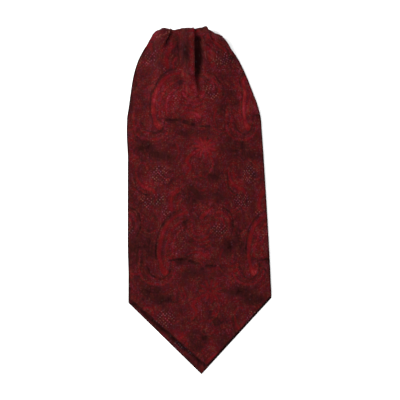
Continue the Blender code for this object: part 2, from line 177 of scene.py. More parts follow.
# %% The neckband and the bed of the front blade
BAND_WIDTH = 46.0
BAND_X = -12.4
BAND_FOOT_X = -5.0
BAND_TURN_Y = -20.0
BAND_LOW = 5.8
BAND_BOTTOM = WALL + GAP
BACK_FOLD_Y = FOLD_Y - 1.5
BACK_TURN_RADIUS = 1.7
BAND_TOP = 2 * BACK_TURN_RADIUS + WALL + GAP + WALL + 4 * TIGHT_TURN
FRONT_TURN_INSIDE = 0.4
FRONT_TURN_RADIUS = FRONT_TURN_INSIDE + 0.5 * WALL
BED_LOW = WALL + GAP
SHOULDER_FROM = 24.8
SHOULDER_TO = 51.0
TOP_SLOPE_SHARE = 0.62


def droop(across):
    """How far the fold's line lies below its highest level, by the share of the width from the left."""
    return along(DROOPS, mix(DROOPS[0].x, DROOPS[-1].x, across))


def droop_weight(y):
    return ease(DROOP_FROM_Y, FOLD_Y, y)


def sides_at(sides, y, share_of_droop):
    """Left and right edge of a row of points, which the droop moves down at its ends."""
    weight = share_of_droop * droop_weight(y)
    left = float(along(sides, y - droop(0.0) * weight, 1))
    right = float(along(sides, y - droop(1.0) * weight, 2))
    return left, right


def band_top(y):
    return mix(BAND_LOW, BAND_TOP, ease(105.0, 160.0, y))


def band_middle(y):
    return mix(BAND_FOOT_X, BAND_X, ease(BAND_TURN_Y, FOLD_Y, y))


def front_bed(x, y):
    """Height of the front blade's inner face: over the neckband, then down to the back blade."""
    over_band = band_top(y) + GAP + (2 * FRONT_TURN_INSIDE - GAP) * ease(120.0, SEAM_Y, y)
    over_band = mix(BED_LOW, over_band, ease(BAND_TURN_Y - 38.0, BAND_TURN_Y, y))
    slope = ease(SHOULDER_FROM, SHOULDER_TO, np.abs(x - band_middle(y)))
    slope = slope * mix(1.0, TOP_SLOPE_SHARE, ease(146.0, 170.0, y))
    return mix(over_band, BED_LOW, slope)


def fold_drop(x):
    """How far the fold slopes down from its middle towards its ends."""
    return front_bed(BAND_X, FOLD_Y) - front_bed(x, FOLD_Y)


print("the front blade lies", round(float(front_bed(BAND_X, 100.0)), 1), "mm up over the neckband")

# %% [markdown]
# ## A row across the pleats
#
# A knife pleat turns the cloth back on itself and then forward again. A flat sheet pushed up with a
# height map can't do that, because it has one height for each place. Here every row of the front blade
# is a line of points that really runs over, back and forward, and a share of a full turn opens each
# pleat towards its foot. The points of each stretch are numbered alike in all rows.

# %% Folds of one row
Fold = namedtuple("Fold", "edge depth outer inner angle ramp valley puff")
Stretch = namedtuple("Stretch", "low rise top")  # steps before each pleat, and after the last
STRETCHES = (Stretch(13, 14, 3), Stretch(20, 14, 3), Stretch(6, 10, 3), Stretch(8, 34, 0))
ARC_STEPS = 6
LEG_STEPS = 2


def folds_at(y, left=None, right=None):
    """The folds of the front blade at height y, or at the top fold squeezed between two edges."""
    found = []
    pressed = float(ease(PRESSED_Y, FOLD_Y, y))
    start, end = FRONT_TURNS[0].left, FRONT_TURNS[0].right
    squeeze = 1.0 if left is None else (right - left) / (end - start)
    for pleat in PLEATS:
        height = min(max((y - pleat.flat_y) / (FOLD_Y - pleat.flat_y), 0.0), 1.0)
        edge = mix(pleat.foot_x, pleat.top_x, height)
        if left is not None:
            edge = left + (edge - start) * squeeze
        closed = float(ease(pleat.flat_y, pleat.release_y, y))
        open_roll = mix(TIGHT_TURN, pleat.roll, closed)
        widening = float(ease(pleat.release_y - 4.0, pleat.release_y + 14.0, y)) * (1.0 - pressed)
        depth = mix(LEAST_DEPTH, pleat.depth, float(ease(pleat.release_y, pleat.narrows_y, y)))
        found.append(Fold(
            edge=edge, depth=depth * squeeze, outer=math.pi * mix(open_roll, TIGHT_TURN, pressed),
            inner=math.pi * TIGHT_TURN, angle=math.pi * closed, ramp=pleat.ramp,
            valley=mix(LEAST_VALLEY, pleat.valley, widening),
            puff=pleat.puff * closed * (1.0 - pressed),
        ))
    return found


def arc_run(length, angle):
    """Run and drop of an arc of this length that turns down from level by this angle."""
    if angle < 1e-6:
        return length, 0.0
    radius = length / angle
    return radius * math.sin(angle), radius * (1.0 - math.cos(angle))


def fold_points(x, height, fold):
    """Points of one fold after the point where it starts: down and back, then level again."""
    points = []
    for step in range(1, ARC_STEPS + 1):
        part = step / ARC_STEPS
        run, drop = arc_run(fold.outer * part, fold.angle * part)
        points.append((x + run, height - drop))
    start_x, start_height = points[-1]
    for step in range(1, LEG_STEPS + 1):
        leg = fold.depth * step / LEG_STEPS
        points.append((start_x + leg * math.cos(fold.angle), start_height - leg * math.sin(fold.angle)))
    x, height = points[-1]
    whole_run, whole_drop = arc_run(fold.inner, fold.angle)
    for step in range(1, ARC_STEPS + 1):
        part = 1.0 - step / ARC_STEPS
        run, drop = arc_run(fold.inner * part, fold.angle * part)
        points.append((x + whole_run - run, height - whole_drop + drop))
    return points


def bulge(puff, start, end, place):
    """Height of a soft bulge, steeper beside the low ground that it starts from."""
    top = start + PUFF_RUN
    return puff * ease(start, top, place) * (1.0 - ease(top, max(end, top + 1.0), place))


def centreline(left, right, folds):
    """Points (x, height over the bed) of a row from edge to edge, and the number of the middle pleat's edge."""
    points = []
    bulges = []
    x = left
    low_end = mix(left, right, EDGE_MARGIN)
    reference = 0
    for number, (fold, steps) in enumerate(zip(folds, STRETCHES)):
        closed = float(ease(0.0, math.pi, fold.angle))
        end = fold.edge - fold.outer / math.pi * closed
        last = fold_points(0.0, 0.0, fold)[-1]
        rise = -last[1]
        rise_end = end - max(LEAST_TOP, -last[0]) - (TIGHT_TURN + 0.5 * WALL + GAP) * closed
        low_end = max(low_end, rise_end - fold.ramp)
        places = [mix(x, low_end, i / steps.low) for i in range(steps.low)]
        places += [mix(low_end, rise_end, i / steps.rise) for i in range(steps.rise)]
        places += [mix(rise_end, end, i / steps.top) for i in range(steps.top + 1)]
        points += [(place, rise * float(ease(low_end, rise_end, place))) for place in places]
        if number == MIDDLE_PLEAT:
            reference = len(points) - 1
        points += fold_points(end, rise, fold)
        x = points.pop()[0]
        low_end = max(fold.edge + fold.valley, x + 1.0)
        bulges.append((len(points), low_end, fold.puff))
    steps = STRETCHES[-1]
    points += [(mix(x, low_end, i / steps.low), 0.0) for i in range(steps.low)]
    points += [(mix(low_end, right, i / steps.rise), 0.0) for i in range(steps.rise + 1)]
    points = np.array(points)
    for first, start, puff in bulges:
        points[first:, 1] += bulge(puff, start, right, points[first:, 0])
    return points, reference


columns = len(centreline(-50.0, 30.0, folds_at(FOLD_Y, -49.6, 27.9))[0])
print("points in a row of the front blade:", columns)

# %% [markdown]
# ## Soft creases
#
# Silk that has been folded and unfolded keeps faint troughs and swells. They could come from a noise
# texture, but then they would be equally deep all over. Each one is listed instead, as a line
# with its own width and depth, and a few long waves join them. Troughs are cut into cloth that was
# lifted a little first, so that no trough sinks into what lies beneath.

# %% Creases of the blades
Crease = namedtuple("Crease", "from_x from_y to_x to_y width depth")
FRONT_CREASES = (
    Crease(-22, 168, -40, 118, 5.0, 0.50),
    Crease(-16, 170, -26, 132, 4.0, 0.45),
    Crease(-10, 160, -17, 108, 4.5, -0.40),
    Crease(-3, 96, -6, 62, 4.0, 0.35),
    Crease(3, 92, 12, 48, 6.0, 0.30),
    Crease(18, 150, 34, 112, 5.0, 0.50),
    Crease(24, 146, 47, 104, 5.0, -0.45),
    Crease(12, 140, 20, 98, 4.0, 0.40),
    Crease(-46, 148, -58, 104, 5.0, 0.45),
    Crease(-55, 98, -66, 58, 6.0, 0.30),
    Crease(38, 60, 58, 20, 9.0, 0.35),
    Crease(-60, 10, -38, -34, 9.0, 0.30),
    Crease(-20, -72, 24, -88, 10.0, 0.30),
    Crease(30, -40, 62, -66, 8.0, 0.28),
    Crease(-62, -70, -30, -112, 8.0, 0.30),
    Crease(8, -118, 34, -140, 7.0, 0.25),
)
BACK_CREASES = (
    Crease(-40, 150, -52, 96, 5.0, 0.20),
    Crease(-2, 152, 6, 84, 6.0, 0.20),
    Crease(26, 132, 44, 78, 5.0, 0.20),
)
LIFT = 0.55


def crease_depth(creases, x, y):
    """Depth of all creases at points, each fading out towards its two ends and to both sides."""
    depth = np.zeros_like(x)
    for crease in creases:
        run_x = crease.to_x - crease.from_x
        run_y = crease.to_y - crease.from_y
        length = math.hypot(run_x, run_y)
        part = ((x - crease.from_x) * run_x + (y - crease.from_y) * run_y) / length ** 2
        aside = ((x - crease.from_x) * run_y - (y - crease.from_y) * run_x) / length
        aside = aside + 1.5 * np.sin(3.0 * part + crease.width)
        fade = ease(-0.15, 0.35, part) * (1.0 - ease(0.55, 1.15, part))
        depth += crease.depth * fade * np.exp(-(aside / crease.width) ** 2)
    return depth


def waves(x, y):
    """Long low waves of cloth that lies loosely, from 0 to 1."""
    total = np.sin(0.061 * x + 0.019 * y + 0.7) + 0.8 * np.sin(0.027 * x - 0.052 * y + 2.1)
    total += 0.6 * np.sin(0.083 * x + 0.047 * y + 4.0) + 0.5 * np.sin(-0.046 * x + 0.081 * y + 1.3)
    return 0.5 + total / 5.8


print("creases:", len(FRONT_CREASES), "on the front,", len(BACK_CREASES), "on the back")

# %% [markdown]
# ## Rows of the front blade
#
# The blade is a grid of rows and columns. It starts at the pointed hem, where rows run parallel to the
# hem, and goes up to the fold, over it, and back beneath to the seam with the neckband. Below the
# pleats the columns spread out evenly, because the pattern needs them there as much as at the pleats.

# %% Grid of the front blade
HEM_FROM_Y = -62.0
HEM_STEPS = 72
STRAIGHT_STEPS = 178
TURN_STEPS = 12
BENEATH_STEPS = 5
EDGE_INSETS = (0.28, 0.05, 0.0, 0.12, 0.45)  # from the outline, at the edge's centre first
EDGE_HEIGHTS = (0.0, 0.25, 0.52, 0.84, 1.0)  # shares of half the thickness


def hem_line(hem, left, right, share):
    """Point of the pointed end at shares of the width from the left."""
    tip_share = (hem.tip_x - left) / (right - left)
    rising = share > tip_share
    part = np.where(rising, (share - tip_share) / (1.0 - tip_share), share / tip_share)
    x = np.where(rising, mix(hem.tip_x, right, part), mix(left, hem.tip_x, part))
    y = np.where(rising, mix(hem.tip_y, hem.right_y, part), mix(hem.left_y, hem.tip_y, part))
    return x, y


def even_shares(count, tip_share):
    """Shares of the width, nearly even, one of which is the tip's."""
    tip = round(tip_share * (count - 1))
    return np.concatenate([
        np.linspace(0.0, tip_share, tip + 1), np.linspace(tip_share, 1.0, count - tip)[1:],
    ])


def hem_rows(hem, first_points, low, shares, steps):
    """Points of the rows between the hem and the first straight row."""
    end_x, end_y = hem_line(hem, low.left, low.right, shares)
    start_x, start_y = first_points
    length = start_y - end_y
    slant = 0.75  # cosine of the hem's angle
    rows = []
    for inset in EDGE_INSETS:
        towards = 1.0 - inset / slant / length
        rows.append((mix(start_x, end_x, towards), mix(start_y, end_y, towards)))
    for step in range(1, steps):
        towards = (1.0 - EDGE_INSETS[-1] / slant / length) * (1.0 - step / steps)
        rows.append((mix(start_x, end_x, towards), mix(start_y, end_y, towards)))
    return rows


def with_rounded_sides(x, height):
    """Adds the columns of the rounded edges at both ends of a row."""
    insets = np.array(EDGE_INSETS)
    left, right = x[0], x[-1]
    new_x = np.concatenate([left + insets[:-1], [left + insets[-1]], x[1:-1],
                            [right - insets[-1]], right - insets[:-1][::-1]])
    ends = len(insets)
    new_height = np.concatenate([np.full(ends, height[0]), height[1:-1], np.full(ends, height[-1])])
    return new_x, new_height


def front_grid():
    """Centre points of the front blade by row and column, and the cloth's own coordinates."""
    xs, ys, zs, cloth_v, references = [], [], [], [], []
    low = FRONT_SIDES[0]
    tip_share = (FRONT_HEM.tip_x - low.left) / (low.right - low.left)
    count = columns + 2 * (len(EDGE_INSETS) - 1)
    even = even_shares(columns, tip_share)

    def row_points(y):
        left, right = sides_at(FRONT_SIDES, y, 1.0)
        points, reference = centreline(left, right, folds_at(y))
        spread = 1.0 - float(ease(62.0, 95.0, y))
        x = mix(points[:, 0], mix(left, right, even), spread)
        height = points[:, 1] * (1.0 - spread)
        return left, right, x, height, reference

    left, right, x, height, reference = row_points(HEM_FROM_Y)
    x, height = with_rounded_sides(x, height)
    shares = (x - left) / (right - left)
    start = (x, np.full(count, HEM_FROM_Y))
    for row_x, row_y in hem_rows(FRONT_HEM, start, low, shares, HEM_STEPS):
        xs.append(row_x)
        ys.append(row_y)
        zs.append(front_bed(row_x, row_y) + 0.5 * WALL)
        cloth_v.append(row_y)
        references.append(reference)

    for y in np.linspace(HEM_FROM_Y, FOLD_Y, STRAIGHT_STEPS + 1):
        left, right, x, height, reference = row_points(y)
        x, height = with_rounded_sides(x, height)
        drop = droop((x - left) / (right - left)) * droop_weight(y)
        xs.append(x)
        ys.append(y - drop)
        zs.append(front_bed(x, y) + 0.5 * WALL + height)
        cloth_v.append(np.full(count, y))
        references.append(reference)

    middle = float(front_bed(BAND_X, FOLD_Y)) - FRONT_TURN_INSIDE
    run = FOLD_Y
    turned = [(180.0 * step / TURN_STEPS, 0.0) for step in range(1, TURN_STEPS + 1)]
    turned += [(180.0, step / BENEATH_STEPS) for step in range(1, BENEATH_STEPS + 1)]
    for angle, beneath in turned:
        left = float(along(FRONT_TURNS, angle, 1))
        right = float(along(FRONT_TURNS, angle, 2))
        left = mix(left, SEAM_LEFT, beneath)
        right = mix(right, SEAM_RIGHT, beneath)
        points, reference = centreline(left, right, folds_at(FOLD_Y, left, right))
        x, height = with_rounded_sides(points[:, 0], points[:, 1])
        radius = FRONT_TURN_RADIUS + height
        y = FOLD_Y + radius * math.sin(math.radians(angle)) - droop((x - left) / (right - left))
        xs.append(x)
        ys.append(mix(y, SEAM_Y, beneath))
        zs.append(middle + radius * math.cos(math.radians(angle)) - fold_drop(x))
        run += 0.6 if beneath == 0.0 else 2.4
        cloth_v.append(np.full(count, run))
        references.append(reference)
    return np.array(xs), np.array(ys), np.array(zs), np.array(cloth_v), references


front_x, front_y, front_z, front_v, references = front_grid()
top_rows = len(EDGE_INSETS) + HEM_STEPS + STRAIGHT_STEPS
print("front blade grid:", front_x.shape, "rows by columns")

# %% [markdown]
# ## Cloth coordinates
#
# A woven pattern stays on the cloth: where a pleat swallows cloth, it swallows the pattern too. So the
# pattern isn't laid over the finished shape from above. Each point gets two numbers that say where it
# was on the flat silk, from the length of cloth along its row. They become the piece's UV map.

# %% Length of cloth along each row
LEAN = 0.042  # the pattern leans a little, as the cloth was cut slightly off its grain
SLIP = 5.5  # the pleats draw the middle of the cloth down by this much
SLIP_REACH = 32.0
SIDE_SHIFT = 4.5  # and at its right side the cloth runs this much nearer to the middle
Pull = namedtuple("Pull", "x y reach amount")
PULLS = (
    # smaller places where the cloth is drawn down by the amount, or up where that is negative
    Pull(12.0, 139.0, 13.0, 5.0), Pull(-33.0, 86.0, 9.0, 3.0), Pull(-47.0, 75.0, 8.0, -2.5),
)
REPEAT_WIDTH = 98.0
REPEAT_HEIGHT = 152.0


def cloth_u(x, z, references):
    """Distance along the cloth from the middle pleat's edge, added to that edge's own place."""
    steps = np.hypot(np.diff(x, axis=1), np.diff(z, axis=1))
    run = np.concatenate([np.zeros((len(x), 1)), np.cumsum(steps, axis=1)], axis=1)
    rows = np.arange(len(x))
    at = np.array(references) + len(EDGE_INSETS) - 1
    return run - run[rows, at][:, None] + x[rows, at][:, None]


front_u = cloth_u(front_x, front_z, references) + LEAN * front_v
slipped = SLIP * np.exp(-((front_x + 2.0) / SLIP_REACH) ** 4)
slipped = slipped * ease(58.0, 80.0, front_v) * (1.0 - ease(142.0, 168.0, front_v))
front_run = front_v + slipped
for pull in PULLS:
    away = np.hypot(front_x - pull.x, front_v - pull.y) / pull.reach
    front_run = front_run + pull.amount * np.exp(-away ** 2)
front_across = front_u + SIDE_SHIFT * ease(40.0, 54.0, front_x) * (1.0 - ease(100.0, 140.0, front_v))
lift = LIFT * waves(front_x, front_y) + LIFT - crease_depth(FRONT_CREASES, front_x, front_y)
lift = np.maximum(lift, 0.0)
row_share = np.ones(len(front_x))
row_share[top_rows:] = 0.0
row_share[top_rows - 24:top_rows] = 1.0 - ease(0.0, 1.0, np.linspace(0.0, 1.0, 24))
row_share[:40] = ease(0.0, 1.0, np.linspace(0.0, 1.0, 40))
edge_run = np.minimum(front_x - front_x[:, :1], front_x[:, -1:] - front_x)
front_z = front_z + lift * row_share[:, None] * ease(0.0, 14.0, edge_run)
print("cloth across the pleats:", round(float(np.ptp(front_u[top_rows - 8])), 1), "mm")

# %% [markdown]
# ## From a grid to cloth with a thickness
#
# Solidify could thicken the grid, but its rim is square. A blade's edge is a seam turned inside out: two
# layers with a fine groove between them. So both faces are made here, half a thickness above and below
# the centre points, and the outermost rows and columns close into that groove.

# %% Closed cloth from a grid


def half_thickness(shape, closed_end=True):
    """Half the thickness of the cloth at each point, closing at the rim."""
    heights = np.array(EDGE_HEIGHTS)
    across = np.ones(shape[1])
    across[:len(heights)] = heights
    across[-len(heights):] = heights[::-1]
    up = np.ones(shape[0])
    up[:len(heights)] = heights
    up[-1] = 0.0
    up[-2] = 0.8
    return 0.5 * WALL * np.minimum(up[:, None], across[None, :])


def grid_normals(points):
    """Unit normals of a grid of points, on the side that faces up where the columns run to +x."""
    right = np.gradient(points, axis=1)
    up = np.gradient(points, axis=0)
    normals = np.cross(right, up)
    return normals / np.maximum(np.linalg.norm(normals, axis=2, keepdims=True), 1e-9)


def closed_cloth(points, half, upper_first=True):
    """Vertices, faces, and the grid place of each vertex, for a closed piece of cloth."""
    rows, cols = half.shape
    normals = grid_normals(points)
    upper = points + normals * half[:, :, None]
    lower = points - normals * half[:, :, None]
    inside = np.zeros((rows, cols), bool)
    inside[1:-1, 1:-1] = True
    upper_number = np.arange(rows * cols).reshape(rows, cols)
    lower_number = upper_number.copy()
    lower_number[inside] = rows * cols + np.arange(inside.sum())
    vertices = np.concatenate([upper.reshape(-1, 3), lower[inside]])
    places = np.concatenate([np.arange(rows * cols), np.arange(rows * cols).reshape(rows, cols)[inside]])

    def quads(number, turned):
        corners = [number[:-1, :-1], number[:-1, 1:], number[1:, 1:], number[1:, :-1]]
        if turned:
            corners.reverse()
        return np.stack([corner.ravel() for corner in corners], axis=1)

    faces = np.concatenate([quads(upper_number, False), quads(lower_number, True)])
    return vertices, faces, places


def make_piece(name, vertices, faces):
    """A named mesh object, in metres, with smooth faces."""
    mesh = bpy.data.meshes.new(name)
    mesh.from_pydata((vertices * METRES).tolist(), [], faces.tolist())
    mesh.update()
    mesh.polygons.foreach_set("use_smooth", [True] * len(mesh.polygons))
    piece = bpy.data.objects.new(name, mesh)
    bpy.context.collection.objects.link(piece)
    return piece


def store_cloth(piece, u, v):
    """Keeps the cloth coordinates as a UV map, 100 mm to a unit."""
    layer = piece.data.uv_layers.new(name="cloth")
    corners = np.empty(len(piece.data.loops), np.int32)
    piece.data.loops.foreach_get("vertex_index", corners)
    pairs = np.stack([u[corners], v[corners]], axis=1) / 100.0
    layer.data.foreach_set("uv", pairs.astype(np.float32).ravel())


front_points = np.stack([front_x, front_y, front_z], axis=2)
vertices, faces, front_places = closed_cloth(front_points, half_thickness(front_x.shape))
front = make_piece("front_blade_silk", vertices, faces)
front_cloth = (front_across.ravel()[front_places], front_run.ravel()[front_places])
store_cloth(front, *front_cloth)
print("front blade:", 2 * len(faces), "triangles")

# %% [markdown]
# ## The back blade
#
# The back blade has the same cut and lies face down beneath, so its good side faces the table. It turns
# over at the top like the front one. Its own pleats lie against the table, where they show as three
# shallow lines raised on its underside, and its inner face carries no creases.

# %% Grid of the back blade
BACK_COLUMNS = 130
BACK_HEM_STEPS = 60
BACK_STRAIGHT_STEPS = 150
BACK_HEM_FROM_Y = -60.0


def back_grid():
    """Centre points of the back blade, from its hem up, over its turn and back to its seam."""
    xs, ys, zs, cloth_v = [], [], [], []
    low = BACK_SIDES[0]
    tip_share = (BACK_HEM.tip_x - low.left) / (low.right - low.left)
    even = even_shares(BACK_COLUMNS, tip_share)

    def row_x(left, right):
        x, _ = with_rounded_sides(mix(left, right, even), np.zeros(BACK_COLUMNS))
        return x

    left, right = sides_at(BACK_SIDES, BACK_HEM_FROM_Y, 1.0)
    x = row_x(left, right)
    start = (x, np.full(len(x), BACK_HEM_FROM_Y))
    for hem_x, hem_y in hem_rows(BACK_HEM, start, low, (x - left) / (right - left), BACK_HEM_STEPS):
        xs.append(hem_x)
        ys.append(hem_y)
        zs.append(np.full(len(x), 0.5 * WALL))
        cloth_v.append(hem_y)

    for y in np.linspace(BACK_HEM_FROM_Y, BACK_FOLD_Y, BACK_STRAIGHT_STEPS + 1):
        left, right = sides_at(BACK_SIDES, y, BACK_DROOP_SHARE)
        near = float(ease(168.0, BACK_FOLD_Y, y))
        left = mix(left, BACK_TURNS[0].left, near)
        right = mix(right, BACK_TURNS[0].right, near)
        x = row_x(left, right)
        share = (x - left) / (right - left)
        xs.append(x)
        ys.append(y - BACK_DROOP_SHARE * droop(share) * droop_weight(y))
        zs.append(np.full(len(x), 0.5 * WALL))
        cloth_v.append(np.full(len(x), y))

    run = BACK_FOLD_Y
    turned = [(180.0 * step / TURN_STEPS, 0.0) for step in range(1, TURN_STEPS + 1)]
    turned += [(180.0, step / BENEATH_STEPS) for step in range(1, BENEATH_STEPS + 1)]
    for angle, beneath in turned:
        left = mix(float(along(BACK_TURNS, angle, 1)), SEAM_LEFT, beneath)
        right = mix(float(along(BACK_TURNS, angle, 2)), SEAM_RIGHT, beneath)
        x = row_x(left, right)
        share = (x - left) / (right - left)
        turn = np.maximum(TIGHT_TURN, BACK_TURN_RADIUS - 0.5 * fold_drop(x))
        y = BACK_FOLD_Y + turn * math.sin(math.radians(angle)) - BACK_DROOP_SHARE * droop(share)
        xs.append(x)
        ys.append(mix(y, SEAM_Y, beneath))
        zs.append(0.5 * WALL + turn - turn * math.cos(math.radians(angle)))
        run += 0.6 if beneath == 0.0 else 2.4
        cloth_v.append(np.full(len(x), run))
    return np.array(xs), np.array(ys), np.array(zs), np.array(cloth_v)


back_x, back_y, back_z, back_v = back_grid()
back_u = 40.0 - back_x + LEAN * back_v
back_points = np.stack([back_x, back_y, back_z], axis=2)
vertices, faces, back_places = closed_cloth(back_points, half_thickness(back_x.shape))
back_top_rows = len(EDGE_INSETS) + BACK_HEM_STEPS + BACK_STRAIGHT_STEPS
creased = crease_depth(BACK_CREASES, vertices[:, 0], vertices[:, 1])
underside = vertices[:, 2] < 0.3 * WALL
vertices[underside, 2] += np.maximum(creased[underside], 0.0)
back = make_piece("back_blade_silk", vertices, faces)
back_cloth = (back_u.ravel()[back_places], back_v.ravel()[back_places])
store_cloth(back, *back_cloth)
print("back blade:", 2 * len(faces), "triangles")

# %% [markdown]
# ## The neckband
#
# The neckband is the same silk, pleated narrow and folded on itself between the blades. Only its sides
# can be seen, from a low angle. So it is one rounded solid whose sides are grooved into six layers,
# made from rings that run up one side, across the top, down the other side and back beneath.

# %% Rings of the neckband
BAND_LAYERS = 6
LAYER_NOTCH = 0.7
BAND_NOTCH = 1.7
LAYER_STEPS = 9
ACROSS_STEPS = 24
NOSE_ANGLES = (0, 12, 25, 38, 50, 60, 70, 77, 82)


def band_side():
    """One side of the neckband's section: (inset from the side, share of the height)."""
    points = []
    for layer in range(BAND_LAYERS):
        below_notch = BAND_NOTCH if layer == BAND_LAYERS // 2 else LAYER_NOTCH
        above_notch = BAND_NOTCH if layer == BAND_LAYERS // 2 - 1 else LAYER_NOTCH
        for step in range(LAYER_STEPS):
            part = (step + 0.5) / LAYER_STEPS
            notch = below_notch if part < 0.5 else above_notch
            round_out = math.sqrt(1.0 - (2.0 * part - 1.0) ** 2)
            points.append((notch * (1.0 - round_out), (layer + part) / BAND_LAYERS))
    return points


def band_rings():
    """Closed rings of points round the neckband, with each point's cloth coordinates."""
    side = band_side()
    places = [(y, 0.0) for y in np.linspace(SEAM_Y - SEAM_GAP, BAND_TURN_Y, 70)]
    places += [(BAND_TURN_Y, angle) for angle in NOSE_ANGLES[1:]]
    rings, coordinates = [], []
    for y, angle in places:
        top = float(band_top(y))
        middle = 0.5 * (BAND_BOTTOM + top)
        half = 0.5 * (top - BAND_BOTTOM)
        turn = math.cos(math.radians(angle))
        y -= half * math.sin(math.radians(angle))
        centre = float(band_middle(y))
        inset_top = 0.5 * BAND_WIDTH - side[-1][0] * turn
        ring = [(centre - 0.5 * BAND_WIDTH + inset * turn, share) for inset, share in side]
        ring += [(centre + inset_top * place, 1.0) for place in np.linspace(-1, 1, ACROSS_STEPS)]
        ring += [(centre + 0.5 * BAND_WIDTH - inset * turn, share) for inset, share in side[::-1]]
        ring += [(centre + inset_top * place, 0.0) for place in np.linspace(1, -1, ACROSS_STEPS)]
        rings.append([(x, y, middle + half * (2.0 * share - 1.0) * turn) for x, share in ring])
        coordinates.append([(x + 20.0 * share, y - half * angle / 60.0) for x, share in ring])
    return np.array(rings), np.array(coordinates)


rings, coordinates = band_rings()
ring_size = rings.shape[1]
number = np.arange(rings.shape[0] * ring_size).reshape(rings.shape[0], ring_size)
after = np.roll(number, -1, axis=1)
walls = np.stack([number[:-1].ravel(), number[1:].ravel(), after[1:].ravel(), after[:-1].ravel()], axis=1)
band = make_piece("neckband_silk", rings.reshape(-1, 3), walls)
shape = bmesh.new()
shape.from_mesh(band.data)
rims = [edge for edge in shape.edges if edge.is_boundary]
bmesh.ops.holes_fill(shape, edges=rims)
bmesh.ops.recalc_face_normals(shape, faces=shape.faces)
bmesh.ops.triangulate(shape, faces=[face for face in shape.faces if len(face.verts) > 4])
shape.to_mesh(band.data)
shape.free()
band.data.polygons.foreach_set("use_smooth", [True] * len(band.data.polygons))
band_cloth = (coordinates[:, :, 0].ravel(), coordinates[:, :, 1].ravel())
store_cloth(band, *band_cloth)
print("neckband:", len(band.data.polygons), "faces in", len(rings), "rings")

# %% [markdown]
# ## A paisley, charted
#
# Paisley is a traditional pattern of bent drops, leaves and flowers. In a jacquard each of them is an
# area where other threads come to the face. Here the repeat is charted as strokes with a width, in
# millimetres of flat cloth: u runs across and v runs up. An image would fix the pattern at one
# sharpness. Strokes stay sharp at any distance, and each can be moved alone.

# %% Strokes of one repeat
Stroke = namedtuple("Stroke", "start_width end_width points")
BROAD = (
    # the bent drop's back, from its tip to its foot
    Stroke(2.6, 5.0, ((-18, -14), (-27, -18), (-36, -27), (-41, -38), (-44, -49))),
    Stroke(5.0, 4.2, ((-44, -49), (-45, -58), (-43, -67))),
    Stroke(4.2, 7.6, ((-43, -67), (-42, -72), (-39, -76))),
    # leaves beside it and under its hook
    Stroke(4.2, 1.6, ((1, -18), (7, -13), (14, -7))),
    Stroke(1.6, 3.2, ((-16, -58), (-10, -55), (-1, -55), (4, -59))),
    Stroke(3.2, 3.6, ((1, -100), (-8, -105), (-12, -111))),
    Stroke(3.6, 2.0, ((-12, -111), (-8, -118), (-13, -125))),
    # the small hooked drop
    Stroke(2.0, 4.8, ((32, -123), (34, -132), (40, -138), (49, -141))),
    Stroke(4.6, 2.0, ((49, -141), (53, -148), (50, -154))),
    # leaves at the drop's shoulder
    Stroke(5.0, 3.0, ((-30, -10), (-30, -1), (-26, 7), (-20, 11))),
    Stroke(2.6, 1.0, ((22, -52), (19, -60), (21, -70))),
)
FINE = (
    Stroke(1.3, 1.3, ((-15, -19), (-23, -24), (-31, -32), (-35, -43), (-38, -53), (-38, -63))),
    Stroke(1.3, 1.3, ((-12, -24), (-19, -29), (-26, -37), (-30, -47), (-31, -58))),
    # rings round the drop's foot
    Stroke(1.5, 1.5, ((-65, -52), (-66, -65), (-66, -75), (-62, -84), (-54, -88), (-41, -88), (-32, -82),
                      (-29, -74))),
    Stroke(1.2, 1.2, ((-60, -61), (-62, -69), (-60, -76), (-55, -81), (-47, -83))),
    # the drop's head and the lines under it
    Stroke(1.6, 1.6, ((-13, -24), (-14, -32), (-9, -39), (-1, -42), (7, -38), (12, -31))),
    Stroke(1.2, 1.2, ((-9, -25), (-9, -32), (-4, -36), (3, -35), (7, -29))),
    Stroke(1.2, 1.2, ((-10, -44), (0, -46), (9, -43))),
    Stroke(1.2, 1.2, ((-10, -49), (0, -51), (10, -47))),
    # a curl to the right of the head
    Stroke(1.6, 1.4, ((14, -14), (21, -12), (27, -16), (30, -24), (28, -33), (21, -38))),
    Stroke(1.2, 1.2, ((17, -18), (23, -20), (25, -27), (20, -33))),
    Stroke(1.2, 1.2, ((16, -23), (20, -26), (17, -30))),
    # veins of the shoulder leaves
    Stroke(1.2, 1.2, ((-33, -14), (-33, -3), (-30, 6), (-24, 12), (-17, 14))),
        Stroke(1.2, 1.2, ((-23, -10), (-23, -3), (-19, 1))),
    # the small drop's hook, a spiral, and the stem between two flowers
    Stroke(1.6, 1.6, ((44, -119), (42, -114), (37, -113), (33, -117), (32, -123))),
    Stroke(1.4, 1.4, ((-5, -128), (2, -126), (9, -130), (9, -138), (2, -142), (-4, -138), (-2, -133))),
    Stroke(1.2, 1.2, ((12, -104), (16, -112), (13, -121), (7, -127))),
    Stroke(1.2, 1.2, ((37, -10), (44, -6), (51, -11))),
    Stroke(1.2, 1.2, ((36, -30), (43, -35), (51, -31))),
    Stroke(1.2, 1.2, ((-44, -118), (-40, -126), (-33, -130), (-27, -127))),
    Stroke(1.2, 1.2, ((-22, -92), (-19, -101), (-23, -110))),
    Stroke(1.2, 1.2, ((18, -72), (26, -78), (34, -75), (38, -67))),
)
